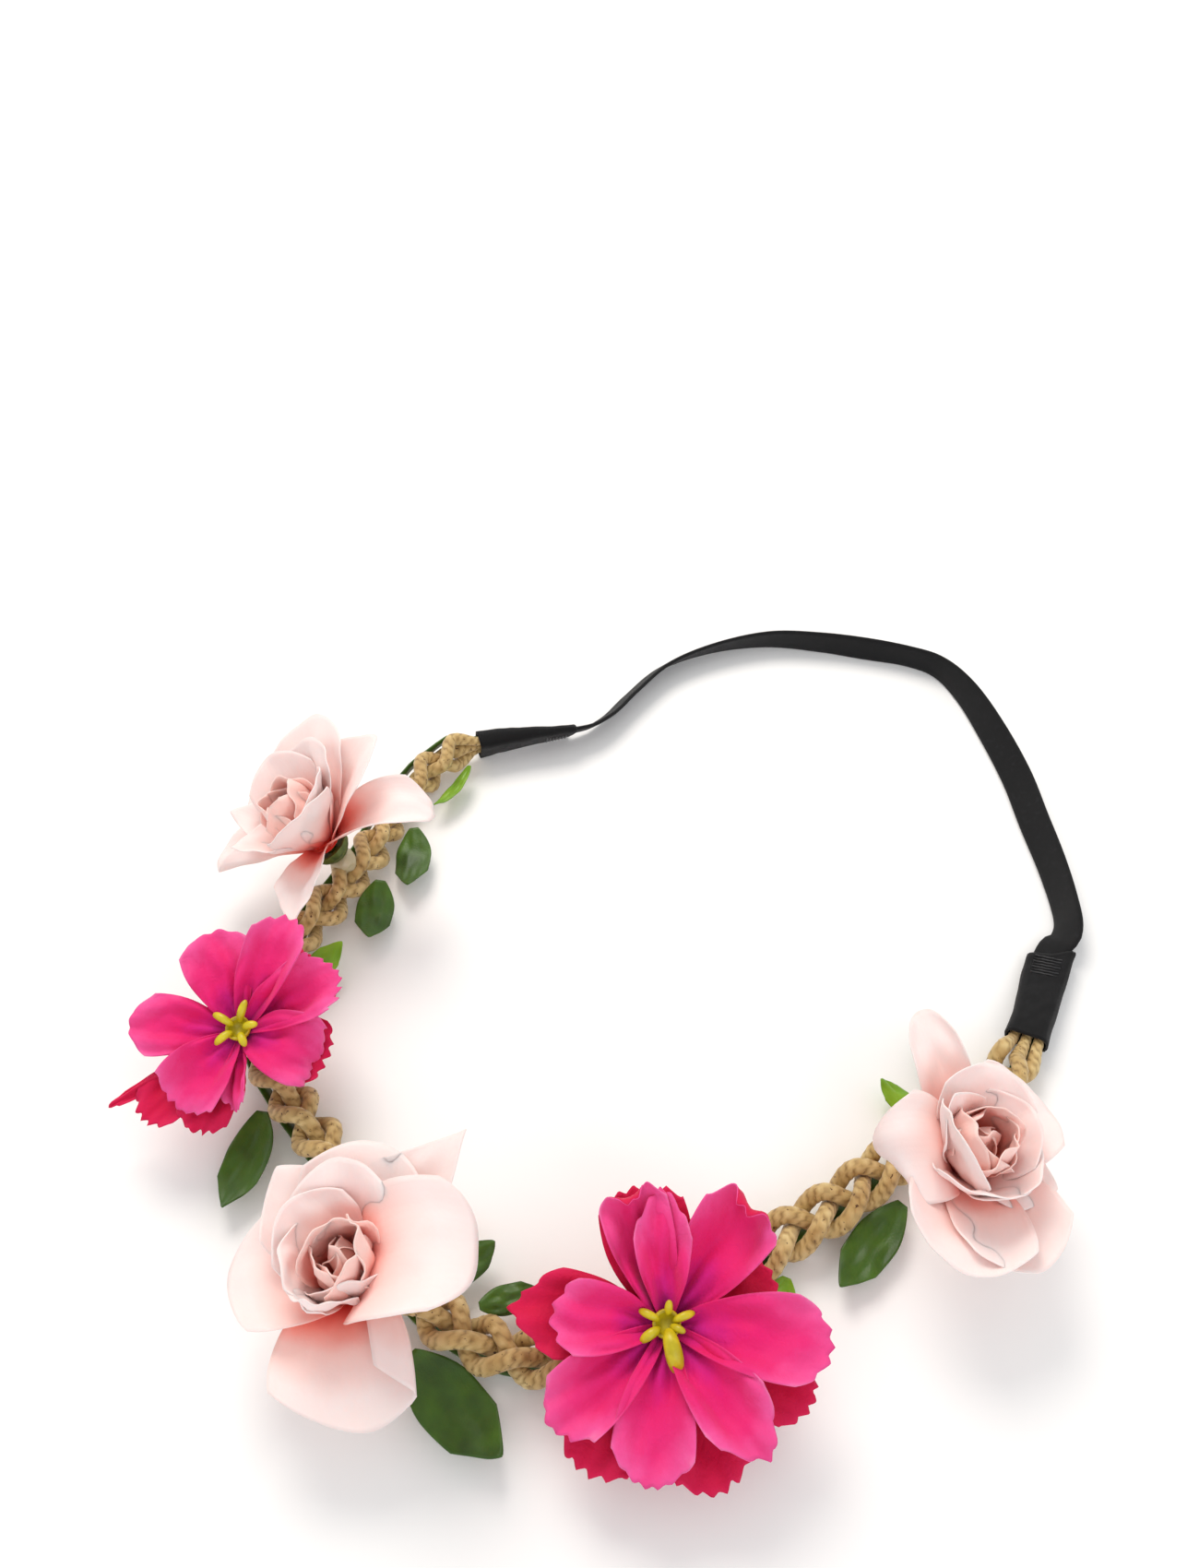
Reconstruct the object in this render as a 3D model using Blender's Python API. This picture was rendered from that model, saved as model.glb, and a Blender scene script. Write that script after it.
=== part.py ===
"""Flower crown: three waxed cords and a leaf ribbon braided together, with five silk flowers
glued along the braid, and a black elastic strap sewn into a folded sleeve at each end.

Frame: +Z up, the crown lies on the plane z = 0, the elastic is at the back (+Y) and the
middle of the braid is at the front (-Y).  All sizes are in metres.
"""

import math

import bmesh
import bpy
from mathutils import Matrix, Vector

MM = 0.001

# Whole loop, measured along the middle of the braid and the elastic.
LOOP_WIDTH = 142 * MM
LOOP_DEPTH = 194 * MM
# The loop's middle, seen from the origin, which is the middle of everything's outline.
LOOP_MIDDLE = (-1.1 * MM, 13.3 * MM)

# Fits.
GAP = 0.3 * MM
SLIP = 0.5 * MM

# Braid of three cords.
BRAID_LENGTH = 288 * MM
CORD_DIAMETER = 2.8 * MM
CORD_SIDES_RESOLUTION = 1
PRESSED_CORD_DIAMETER = 2.1 * MM
# The braid's pitch, side to side swing and rise follow the cord's diameter.
BRAID_PITCH = 9.3 * CORD_DIAMETER
BRAID_SPREAD = CORD_DIAMETER + SLIP
BRAID_RISE = 0.75 * CORD_DIAMETER
SECTIONS_PER_TURN = 12
LEAD_LENGTH = 6 * MM
CORD_TUCK = 8 * MM

# Leaf ribbon that runs with the cords.
RIBBON_WIDTH = 2.6 * MM
RIBBON_THICKNESS = 0.4 * MM
RIBBON_TUCK = 4 * MM
RIBBON_SECTION_STEP = 3 * MM
LEAF_THICKNESS = 0.4 * MM
# A leaf that lies along the braid stands off it by this share of its width.
LEAF_ROOT_SHARE = 0.25

# Folded sleeves.
SLEEVE_LENGTH = 22.5 * MM
SLEEVE_WALL = 0.6 * MM
THREAD_DIAMETER = 0.4 * MM

# Elastic strap.
STRAP_WIDTH = 7.0 * MM
STRAP_THICKNESS = 0.9 * MM
STRAP_TUCK = 6 * MM
STRAP_SECTION_STEP = 4 * MM
STRAP_BACK_LENGTH = 62 * MM
STRAP_SETTLE = 14 * MM

# Flowers.
PIN_DIAMETER = 2.0 * MM
PETAL_THICKNESS = 0.45 * MM
HUB_RADIUS = 3.0 * MM
CALYX_HEIGHT = 3.4 * MM
CALYX_CUP_DEPTH = 1.6 * MM
CALYX_RIM = 0.5 * MM
HUB_CLEARANCE = 0.45 * MM
ROSE_MIDDLE_RADIUS = 14.0 * MM
ROSE_INNER_RADIUS = 9.4 * MM
ROSE_BUD_RADIUS = 6.3 * MM
ROSE_BUD_HEIGHT = 13.0 * MM
COSMOS_BACK_SHARE = 0.96
STAMEN_RADIUS = 2.6 * MM
GLUE_THICKNESS = 0.9 * MM
GLUE_RADIUS = 3.4 * MM

# Derived fits.
PIN_RADIUS = PIN_DIAMETER / 2
BORE_RADIUS = PIN_RADIUS + GAP
CORD_RADIUS = CORD_DIAMETER / 2
PRESSED_RADIUS = PRESSED_CORD_DIAMETER / 2
PRESSED_SPACING = PRESSED_CORD_DIAMETER + GAP
BRAID_HALF_WIDTH = BRAID_SPREAD + CORD_RADIUS
BRAID_HALF_THICKNESS = BRAID_RISE + CORD_RADIUS
RIBBON_DEPTH = BRAID_HALF_THICKNESS + GAP + RIBBON_THICKNESS / 2
PRESSED_RIBBON_DEPTH = PRESSED_RADIUS + GAP + RIBBON_THICKNESS / 2
BORE_HALF_WIDTH = max(PRESSED_SPACING + PRESSED_RADIUS, STRAP_WIDTH / 2) + GAP
MOUTH_HALF_THICKNESS = PRESSED_RIBBON_DEPTH + RIBBON_THICKNESS / 2 + GAP
EXIT_HALF_THICKNESS = STRAP_THICKNESS / 2 + GAP
SLEEVE_HALF_WIDTH = BORE_HALF_WIDTH + SLEEVE_WALL
# Heights of the petal layers above the calyx's underside.
LAYER_STEP = PETAL_THICKNESS + HUB_CLEARANCE
FIRST_LAYER = CALYX_HEIGHT + GAP + PETAL_THICKNESS / 2

# Middle line of the loop, clockwise from above, from the strap's end of the right sleeve.
# Each point is x as a percentage of half the loop's width, y as a percentage of half its
# depth, and the lean of the band in degrees: 0 stands on its edge, positive tips its upper
# edge inwards, and -90 lies flat with its inner face up.
LOOP_ROUTE = [
    (97, 30, -72), (100, 7, -76), (97.6, -7, -80), (91.5, -19.5, -82), (82, -32, -82),
    (75.5, -44, -80), (69.5, -52, -80), (61, -65.5, -78), (53, -78.5, -76), (43.8, -89, -74),
    (33.8, -95.2, -70), (21.5, -99, -68), (8.7, -100, -66), (-6.6, -98, -62), (-24, -92.2, -58),
    (-38, -87.7, -54), (-48, -85.5, -50), (-64, -81.3, -45), (-79.4, -75.3, -40),
    (-89, -65, -34), (-93, -53.2, -28), (-93, -41.5, -22), (-94.5, -27.4, -14),
    (-97.5, -18, -8), (-99.6, -9, -2), (-99, 2, 8), (-92.4, 13.4, 20), (-69.7, 30.1, 36),
    (-64, 38, 38), (-62.3, 49.5, 38), (-59, 63, 37), (-48.6, 75.3, 28), (-33.8, 85.6, 14),
    (-17, 91.8, 4), (-1.4, 95.9, -3), (12.7, 99, 2), (24, 99.4, -5), (36.6, 94.8, -25),
    (50.7, 86, -45), (64.8, 75.3, -58), (76, 64, -52), (87.3, 52.6, -40), (96, 42.3, -34),
    (98.6, 36, -52),
]
ROUTE_STEPS = 14

# Flowers from right to left along the braid: name, kind, distance from the right sleeve,
# outward shift, distance from the braid's inner face to the calyx, axis, the turn of its
# first petal in degrees, and the reach of its widest petals.
FLOWERS = [
    ("rose_right", "rose", 34 * MM, 6.0 * MM, 0.7 * MM, (0.20, -0.02, 1.0), 26, 26.0 * MM),
    ("cosmos_front", "cosmos", 92 * MM, 1.5 * MM, 2.1 * MM, (0.05, -0.20, 0.97), 4, 24.0 * MM),
    ("rose_front", "rose", 142.5 * MM, 7.0 * MM, 0.5 * MM, (-0.06, -0.02, 1.0), 18, 22.5 * MM),
    ("cosmos_left", "cosmos", 197 * MM, 1.5 * MM, 3.3 * MM, (0.18, -0.22, 0.95), 12, 20.5 * MM),
    ("rose_left", "rose", 242 * MM, 0.0 * MM, 3.3 * MM, (-0.42, -0.20, 0.88), 40, 23.0 * MM),
]
# A petal turned by 0 degrees points this way in plan, before the flower is tilted.
PETAL_ZERO = Vector((0.85, 0.52, 0.0))

# Leaves from right to left: distance from the right sleeve, angle of the root around the
# braid (0 outer or upper edge, 90 upper or inner face, 180 inner or lower edge), angle
# between the leaf and the braid's direction, roll about its own length, length, width.
LEAVES = [
    (20 * MM, 170, 124, 20, 12 * MM, 7 * MM),
    (29 * MM, 170, 70, 10, 9 * MM, 5 * MM),
    (46 * MM, -10, 10, 0, 18 * MM, 8 * MM),
    (71 * MM, -12, 34, 0, 9 * MM, 6 * MM),
    (131 * MM, -20, 172, 0, 21 * MM, 11 * MM),
    (126 * MM, 154, 140, 10, 9 * MM, 5 * MM),
    (136 * MM, 152, 100, 10, 10 * MM, 6 * MM),
    (183 * MM, -48, 130, 10, 17 * MM, 9 * MM),
    (212 * MM, 112, 30, 20, 11 * MM, 6 * MM),
    (241 * MM, 106, 156, -10, 13 * MM, 8 * MM),
    (256 * MM, 98, 160, 10, 14 * MM, 8 * MM),
    (281 * MM, 80, 160, 30, 12 * MM, 4 * MM),
]


def clear_scene():
    for old in list(bpy.data.objects):
        bpy.data.objects.remove(old, do_unlink=True)


def make_material(name, colour, roughness, metallic=0.0):
    material = bpy.data.materials.new(name)
    material.use_nodes = True
    shader = material.node_tree.nodes["Principled BSDF"]
    shader.inputs["Base Color"].default_value = (*colour, 1.0)
    shader.inputs["Roughness"].default_value = roughness
    shader.inputs["Metallic"].default_value = metallic
    return material


def add_object(name, data, material, parent=None):
    """Puts a mesh or curve in the scene under its sub-part's name."""
    data.materials.append(material)
    piece = bpy.data.objects.new(name, data)
    bpy.context.collection.objects.link(piece)
    piece.parent = parent
    return piece


def mesh_from(bm, name, smooth=True):
    bmesh.ops.recalc_face_normals(bm, faces=bm.faces)
    mesh = bpy.data.meshes.new(name)
    bm.to_mesh(mesh)
    bm.free()
    if smooth:
        mesh.shade_smooth()
        mesh.set_sharp_from_angle(angle=math.radians(50))
    return mesh


def smoothstep(t):
    t = min(max(t, 0.0), 1.0)
    return t * t * (3 - 2 * t)


def mix(a, b, t):
    return a + (b - a) * t


# ---------------------------------------------------------------- the loop's middle line


def curve_through(points, steps):
    """Closed Catmull-Rom curve through (x, y, lean) points, as a dense list of vectors."""
    count = len(points)
    dense = []
    for i in range(count):
        p0, p1, p2, p3 = (points[(i + k) % count] for k in (-1, 0, 1, 2))
        for step in range(steps):
            t = step / steps
            dense.append(
                0.5 * ((2 * p1) + (p2 - p0) * t + (2 * p0 - 5 * p1 + 4 * p2 - p3) * t * t
                       + (3 * p1 - p0 - 3 * p2 + p3) * t * t * t)
            )
    return dense


class Loop:
    """The closed middle line, read by distance along it from the right sleeve's strap end."""

    def __init__(self):
        half = (LOOP_WIDTH / 2 / 100, LOOP_DEPTH / 2 / 100)
        points = [
            Vector((LOOP_MIDDLE[0] + x * half[0], LOOP_MIDDLE[1] + y * half[1], lean))
            for x, y, lean in LOOP_ROUTE
        ]
        self.points = curve_through(points, ROUTE_STEPS)
        self.marks = [0.0]
        for a, b in zip(self.points, self.points[1:] + self.points[:1]):
            self.marks.append(self.marks[-1] + (b.xy - a.xy).length)
        self.length = self.marks[-1]

    def flat_point(self, distance):
        """x, y and lean at a distance along the line."""
        distance = distance % self.length
        low, high = 0, len(self.points)
        while high - low > 1:
            middle = (low + high) // 2
            if self.marks[middle] <= distance:
                low = middle
            else:
                high = middle
        span = self.marks[low + 1] - self.marks[low]
        share = (distance - self.marks[low]) / span
        following = self.points[(low + 1) % len(self.points)]
        return self.points[low].lerp(following, share)

    def half_size(self, distance):
        """Half width and half thickness of the band, which set the height it rests at."""
        exit_size = (SLEEVE_HALF_WIDTH, EXIT_HALF_THICKNESS + SLEEVE_WALL)
        mouth_size = (SLEEVE_HALF_WIDTH, MOUTH_HALF_THICKNESS + SLEEVE_WALL)
        braid_size = (BRAID_HALF_WIDTH, RIBBON_DEPTH + RIBBON_THICKNESS / 2)
        strap_size = (STRAP_WIDTH / 2, STRAP_THICKNESS / 2)
        left_mouth = SLEEVE_LENGTH + BRAID_LENGTH
        left_exit = left_mouth + SLEEVE_LENGTH
        marks = [
            (0.0, exit_size), (SLEEVE_LENGTH, mouth_size),
            (SLEEVE_LENGTH + LEAD_LENGTH, braid_size), (left_mouth - LEAD_LENGTH, braid_size),
            (left_mouth, mouth_size), (left_exit, exit_size),
            (left_exit + STRAP_SETTLE, strap_size), (self.length - STRAP_SETTLE, strap_size),
            (self.length, exit_size),
        ]
        for (start, near), (end, far) in zip(marks, marks[1:]):
            if distance <= end:
                share = (distance - start) / (end - start)
                return mix(near[0], far[0], share), mix(near[1], far[1], share)
        return exit_size

    def at(self, distance):
        """Point, direction, width direction and face direction of the band."""
        distance = distance % self.length
        here = self.flat_point(distance)
        ahead = self.flat_point(distance + 1 * MM)
        behind = self.flat_point(distance - 1 * MM)
        along = Vector((ahead.x - behind.x, ahead.y - behind.y, 0.0)).normalized()
        inward = Vector((along.y, -along.x, 0.0))
        lean = math.radians(here.z)
        width = inward * math.sin(lean) + Vector((0, 0, 1)) * math.cos(lean)
        face = along.cross(width)
        half_width, half_thickness = self.half_size(distance)
        height = half_width * abs(math.cos(lean)) + half_thickness * abs(math.sin(lean))
        return Vector((here.x, here.y, height)), along, width, face

    def beside(self, distance, across, through):
        point, along, width, face = self.at(distance)
        return point + width * across + face * through


def braid_at(loop, distance):
    """The band at a distance from the right sleeve's mouth."""
    return loop.at(SLEEVE_LENGTH + distance)


# ---------------------------------------------------------------- cords, ribbon and strap


def add_tube(name, points, radii, diameter, material, resolution):
    curve = bpy.data.curves.new(name, "CURVE")
    curve.dimensions = "3D"
    curve.bevel_depth = diameter / 2
    curve.bevel_resolution = resolution
    curve.use_fill_caps = True
    spline = curve.splines.new("POLY")
    spline.points.add(len(points) - 1)
    for slot, point, radius in zip(spline.points, points, radii):
        slot.co = (*point, 1.0)
        slot.radius = radius
    return add_object(name, curve, material)


def add_cords(loop, material):
    """Three cords braided flat, pressed side by side where the sleeves hold them."""
    plaited = BRAID_LENGTH - 2 * LEAD_LENGTH
    turns = max(1, round(plaited / BRAID_PITCH))
    plait_steps = turns * SECTIONS_PER_TURN
    lead_steps = 3
    distances = [-CORD_TUCK, -CORD_TUCK / 2]
    distances += [LEAD_LENGTH * i / lead_steps for i in range(lead_steps)]
    distances += [LEAD_LENGTH + plaited * i / plait_steps for i in range(plait_steps + 1)]
    distances += [BRAID_LENGTH - LEAD_LENGTH * i / lead_steps for i in reversed(range(lead_steps))]
    distances += [BRAID_LENGTH + CORD_TUCK / 2, BRAID_LENGTH + CORD_TUCK]
    for cord in range(3):
        start = cord * 2 * math.pi / 3
        side = (0, 1, -1)[cord]
        points = []
        radii = []
        for distance in distances:
            share = min(max((distance - LEAD_LENGTH) / plaited, 0.0), 1.0)
            angle = start + 2 * math.pi * turns * share
            spread = min(distance, BRAID_LENGTH - distance) / LEAD_LENGTH
            loose = smoothstep(spread)
            across = mix(side * PRESSED_SPACING, BRAID_SPREAD * math.sin(angle), loose)
            through = BRAID_RISE * math.sin(2 * angle) * loose
            points.append(loop.beside(SLEEVE_LENGTH + distance, across, through))
            radii.append(mix(PRESSED_RADIUS / CORD_RADIUS, 1.0, loose))
        add_tube(f"cord_{cord + 1}", points, radii, CORD_DIAMETER, material,
                 CORD_SIDES_RESOLUTION)


def add_band(name, loop, distances, offsets, half_width, half_thickness, material, parent=None):
    """A flat band swept along the loop, with its rectangular section in the band's own axes."""
    origin = parent.matrix_world.translation if parent else Vector()
    bm = bmesh.new()
    rings = []
    for distance, through in zip(distances, offsets):
        ring = []
        for across, thick in ((-1, -1), (1, -1), (1, 1), (-1, 1)):
            point = loop.beside(distance, across * half_width, through + thick * half_thickness)
            ring.append(bm.verts.new(point - origin))
        rings.append(ring)
    for near, far in zip(rings, rings[1:]):
        for i in range(4):
            bm.faces.new((near[i], near[(i + 1) % 4], far[(i + 1) % 4], far[i]))
    bm.faces.new(rings[0])
    bm.faces.new(rings[-1])
    return add_object(name, mesh_from(bm, name), material, parent)


def add_leaf_ribbon(loop, material):
    """The ribbon's narrow core, which lies under the cords and ends inside the sleeves."""
    steps = max(2, round((BRAID_LENGTH + 2 * RIBBON_TUCK) / RIBBON_SECTION_STEP))
    distances = []
    offsets = []
    for i in range(steps + 1):
        distance = -RIBBON_TUCK + (BRAID_LENGTH + 2 * RIBBON_TUCK) * i / steps
        loose = smoothstep(min(distance, BRAID_LENGTH - distance) / LEAD_LENGTH)
        distances.append(SLEEVE_LENGTH + distance)
        offsets.append(-mix(PRESSED_RIBBON_DEPTH, RIBBON_DEPTH, loose))
    add_band("leaf_ribbon", loop, distances, offsets, RIBBON_WIDTH / 2, RIBBON_THICKNESS / 2,
             material)


def spaced(start, end, step):
    count = max(2, round((end - start) / step))
    return [start + (end - start) * i / count for i in range(count + 1)]


def add_strap(loop, material):
    """The elastic, cut where its middle starts to travel and where its side runs stretch."""
    left_start = 2 * SLEEVE_LENGTH + BRAID_LENGTH - STRAP_TUCK
    right_end = loop.length + STRAP_TUCK
    middle = (left_start + right_end) / 2
    back_start = middle - STRAP_BACK_LENGTH / 2
    back_end = middle + STRAP_BACK_LENGTH / 2
    slide = bpy.data.objects.new("elastic_slide", None)
    bpy.context.collection.objects.link(slide)
    slide.location = loop.at(middle)[0]
    bpy.context.view_layer.update()
    runs = [
        ("strap_left_run", left_start, back_start - GAP / 2, None),
        ("strap_back", back_start + GAP / 2, back_end - GAP / 2, slide),
        ("strap_right_run", back_end + GAP / 2, right_end, None),
    ]
    for name, start, end, parent in runs:
        distances = spaced(start, end, STRAP_SECTION_STEP)
        add_band(name, loop, distances, [0.0] * len(distances), STRAP_WIDTH / 2,
                 STRAP_THICKNESS / 2, material, parent)


# ---------------------------------------------------------------- sleeves and their stitches


def stadium(half_width, half_thickness, arc_steps=4):
    """Section with flat faces and round edges, as (across, through) points."""
    outline = []
    centre = half_width - half_thickness
    for side in (1, -1):
        for i in range(arc_steps + 1):
            angle = math.radians(-90 + 180 * i / arc_steps)
            outline.append((side * (centre + half_thickness * math.cos(angle)),
                            side * half_thickness * math.sin(angle)))
    return outline


def sleeve_half_thickness(share):
    """Half thickness of the sleeve's hollow, from the strap's end (0) to the mouth (1)."""
    return mix(EXIT_HALF_THICKNESS, MOUTH_HALF_THICKNESS, share)


def add_sleeve(name, loop, exit_at, mouth_at, material):
    """Folded fabric sleeve, a flat tube that narrows towards the strap."""
    bm = bmesh.new()
    shells = []
    stations = 4
    for wall in (SLEEVE_WALL, 0.0):
        rings = []
        for i in range(stations + 1):
            share = i / stations
            thickness = sleeve_half_thickness(share) + wall
            outline = stadium(BORE_HALF_WIDTH + wall, thickness)
            distance = mix(exit_at, mouth_at, share)
            rings.append([bm.verts.new(loop.beside(distance, a, t)) for a, t in outline])
        shells.append(rings)
    count = len(shells[0][0])
    for rings in shells:
        for near, far in zip(rings, rings[1:]):
            for i in range(count):
                bm.faces.new((near[i], near[(i + 1) % count], far[(i + 1) % count], far[i]))
    for end in (0, -1):
        outer, inner = shells[0][end], shells[1][end]
        for i in range(count):
            bm.faces.new((outer[i], outer[(i + 1) % count], inner[(i + 1) % count], inner[i]))
    add_object(name, mesh_from(bm, name), material)


def add_stitches(name, loop, exit_at, mouth_at, material):
    """One thread sewn back and forth across the sleeve over the tucked end of the strap."""
    passes = 5
    reach = BORE_HALF_WIDTH * 0.62
    points = []
    for i in range(passes):
        share = mix(0.08, 0.24, i / (passes - 1))
        distance = mix(exit_at, mouth_at, share)
        lift = sleeve_half_thickness(share) + SLEEVE_WALL + GAP + THREAD_DIAMETER / 2
        ends = (-reach, reach) if i % 2 == 0 else (reach, -reach)
        points += [loop.beside(distance, across, lift) for across in ends]
    add_tube(name, points, [1.0] * len(points), THREAD_DIAMETER, material, 0)


# ---------------------------------------------------------------- leaves


def leaf_half_width(share, width):
    """Half width of a pointed oval leaf at a share of its length."""
    return 0.5 * width * (math.sin(math.pi * share ** 0.8) ** 0.75 * 0.94 + 0.06 * (1 - share))


def add_leaf(name, loop, spec, material):
    distance, around, heading, roll, length, width = spec
    point, along, across, face = braid_at(loop, distance)
    turn = math.radians(around)
    outward = across * math.cos(turn) + face * math.sin(turn)
    lead = math.radians(heading)
    clearance = SLIP + LEAF_ROOT_SHARE * width * abs(math.cos(lead))
    reach_across = (BRAID_HALF_WIDTH + clearance) * math.cos(turn)
    reach_through = (RIBBON_DEPTH + RIBBON_THICKNESS + clearance) * math.sin(turn)
    root = point + across * reach_across + face * reach_through
    length_way = (along * math.cos(lead) + outward * math.sin(lead)).normalized()
    side_way = along.cross(outward).cross(length_way).normalized()
    flat_way = length_way.cross(side_way)
    spin = Matrix.Rotation(math.radians(roll), 3, length_way)
    side_way = spin @ side_way
    flat_way = spin @ flat_way
    bm = bmesh.new()
    columns = 5
    rows = []
    for i in range(columns + 1):
        share = mix(0.04, 0.985, i / columns)
        half = max(leaf_half_width(share, width), 0.25 * MM)
        row = []
        for side in (-1, 0, 1):
            fold = 0.16 * half * abs(side)
            bow = 0.10 * length * math.sin(math.pi * share)
            row.append(bm.verts.new(root + length_way * (length * share)
                                    + side_way * (half * side) + flat_way * (fold + bow)))
        rows.append(row)
    for near, far in zip(rows, rows[1:]):
        for i in range(2):
            bm.faces.new((near[i], near[i + 1], far[i + 1], far[i]))
    leaf = add_object(name, mesh_from(bm, name), material)
    thicken = leaf.modifiers.new("Fabric thickness", "SOLIDIFY")
    thicken.thickness = LEAF_THICKNESS
    thicken.offset = 0.0


# ---------------------------------------------------------------- turned pieces of a flower


def add_turned(name, profile, sides, material, parent):
    """Closed solid turned about Z from (radius, height) points; a radius of 0 is a pole."""
    bm = bmesh.new()
    rings = []
    for radius, height in profile:
        if radius == 0:
            rings.append([bm.verts.new((0, 0, height))])
            continue
        rings.append([
            bm.verts.new((radius * math.cos(2 * math.pi * i / sides),
                          radius * math.sin(2 * math.pi * i / sides), height))
            for i in range(sides)
        ])
    closed = profile[0][0] > 0 and profile[-1][0] > 0
    pairs = list(zip(rings, rings[1:]))
    if closed:
        pairs.append((rings[-1], rings[0]))
    for near, far in pairs:
        for i in range(sides):
            following = (i + 1) % sides
            if len(near) == 1:
                corners = [near[0], far[following], far[i]]
            elif len(far) == 1:
                corners = [near[i], near[following], far[0]]
            else:
                corners = [near[i], near[following], far[following], far[i]]
            bm.faces.new(corners)
    return add_object(name, mesh_from(bm, name), material, parent)


def add_petal_layer(name, count, first_turn, profile, material, parent):
    """One stamped layer of petals around a punched hub.

    profile lists (radius, height, share) from the hub outwards, where share is how much of
    its sector a petal fills there.
    """
    bm = bmesh.new()
    sector = 2 * math.pi / count
    half = sector / 2
    hub_height = profile[0][1]
    angles = [first_turn + sector * i / 2 for i in range(2 * count)]

    def ring_point(radius, angle, height):
        return bm.verts.new((radius * math.cos(angle), radius * math.sin(angle), height))

    inner = [ring_point(BORE_RADIUS, angle, hub_height) for angle in angles]
    outer = [ring_point(HUB_RADIUS, angle, hub_height) for angle in angles]
    total = 2 * count
    for i in range(total):
        bm.faces.new((inner[i], outer[i], outer[(i + 1) % total], inner[(i + 1) % total]))
    for petal in range(count):
        middle = first_turn + sector * petal
        base = [outer[(2 * petal - 1) % total], outer[2 * petal], outer[(2 * petal + 1) % total]]
        near = base
        for radius, height, share in profile[1:]:
            far = [ring_point(radius * (1.0 if side == 0 else 0.97), middle + side * half * share,
                              height) for side in (-1, 0, 1)]
            for i in range(2):
                bm.faces.new((near[i], near[i + 1], far[i + 1], far[i]))
            near = far
    layer = add_object(name, mesh_from(bm, name), material, parent)
    thicken = layer.modifiers.new("Fabric thickness", "SOLIDIFY")
    thicken.thickness = PETAL_THICKNESS
    thicken.offset = 0.0


# ---------------------------------------------------------------- whole flowers


def add_calyx(name, base_radius, rim_radius, material, parent):
    cup_floor = CALYX_HEIGHT - CALYX_CUP_DEPTH
    profile = [
        (BORE_RADIUS, cup_floor), (BORE_RADIUS, 0.0), (base_radius, 0.0),
        (mix(base_radius, rim_radius, 0.7), 0.44 * CALYX_HEIGHT), (rim_radius, CALYX_HEIGHT),
        (rim_radius - CALYX_RIM, CALYX_HEIGHT), (base_radius, cup_floor),
    ]
    add_turned(name, profile, 14, material, parent)


def add_pin(name, top, material, parent):
    """Moulded stem that the calyx and the petal layers are threaded on."""
    profile = [
        (0, 0.2 * MM), (PIN_RADIUS, 0.2 * MM), (PIN_RADIUS, top - 0.6 * MM),
        (PIN_RADIUS * 0.6, top), (0, top),
    ]
    add_turned(name, profile, 10, material, parent)


def add_glue(name, material, parent):
    """Set drop of hot glue between the braid and the calyx."""
    low = -GAP - GLUE_THICKNESS
    profile = [
        (0, low), (GLUE_RADIUS, low), (GLUE_RADIUS * 1.06, low + GLUE_THICKNESS * 0.4),
        (GLUE_RADIUS * 0.8, -GAP), (0, -GAP),
    ]
    add_turned(name, profile, 12, material, parent)


def add_rose(name, turn, reach, materials, parent):
    first = math.radians(turn)
    half_step = math.radians(36)
    add_calyx(f"{name}_calyx", 2.8 * MM, 4.6 * MM, materials["calyx"], parent)
    outer_hub = FIRST_LAYER
    middle_hub = outer_hub + LAYER_STEP
    inner_hub = middle_hub + LAYER_STEP
    bud_base = inner_hub + PETAL_THICKNESS / 2 + GAP
    outer = [
        (HUB_RADIUS, outer_hub, 1.0), (0.33 * reach, outer_hub + 0.6 * MM, 0.93),
        (0.62 * reach, outer_hub + 2.4 * MM, 0.95),
        (0.86 * reach, outer_hub + 4.2 * MM, 0.86), (reach, outer_hub + 4.0 * MM, 0.42),
    ]
    middle = [
        (HUB_RADIUS, middle_hub, 1.0), (0.58 * ROSE_MIDDLE_RADIUS, middle_hub + 1.4 * MM, 0.93),
        (0.82 * ROSE_MIDDLE_RADIUS, middle_hub + 5.0 * MM, 0.94),
        (0.95 * ROSE_MIDDLE_RADIUS, middle_hub + 9.0 * MM, 0.84),
        (ROSE_MIDDLE_RADIUS, middle_hub + 11.0 * MM, 0.42),
    ]
    inner = [
        (HUB_RADIUS, inner_hub, 1.0), (0.76 * ROSE_INNER_RADIUS, inner_hub + 1.2 * MM, 0.93),
        (0.9 * ROSE_INNER_RADIUS, inner_hub + 4.6 * MM, 0.94),
        (0.97 * ROSE_INNER_RADIUS, inner_hub + 9.0 * MM, 0.84),
        (ROSE_INNER_RADIUS, inner_hub + 11.5 * MM, 0.42),
    ]
    layers = (("outer_petals", 5, outer), ("middle_petals", 5, middle), ("inner_petals", 5, inner))
    for i, (label, count, profile) in enumerate(layers):
        add_petal_layer(f"{name}_{label}", count, first + half_step * i, profile,
                        materials["rose"], parent)
    bore_top = bud_base + 4.0 * MM
    bud = [
        (0, bore_top), (BORE_RADIUS, bore_top), (BORE_RADIUS, bud_base), (3.4 * MM, bud_base),
        (0.92 * ROSE_BUD_RADIUS, bud_base + 0.3 * ROSE_BUD_HEIGHT),
        (ROSE_BUD_RADIUS, bud_base + 0.52 * ROSE_BUD_HEIGHT),
        (0.8 * ROSE_BUD_RADIUS, bud_base + 0.84 * ROSE_BUD_HEIGHT),
        (0.4 * ROSE_BUD_RADIUS, bud_base + ROSE_BUD_HEIGHT),
        (0, bud_base + 0.96 * ROSE_BUD_HEIGHT),
    ]
    add_turned(f"{name}_bud", bud, 14, materials["rose"], parent)
    add_pin(f"{name}_pin", bore_top - GAP, materials["pin"], parent)


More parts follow.
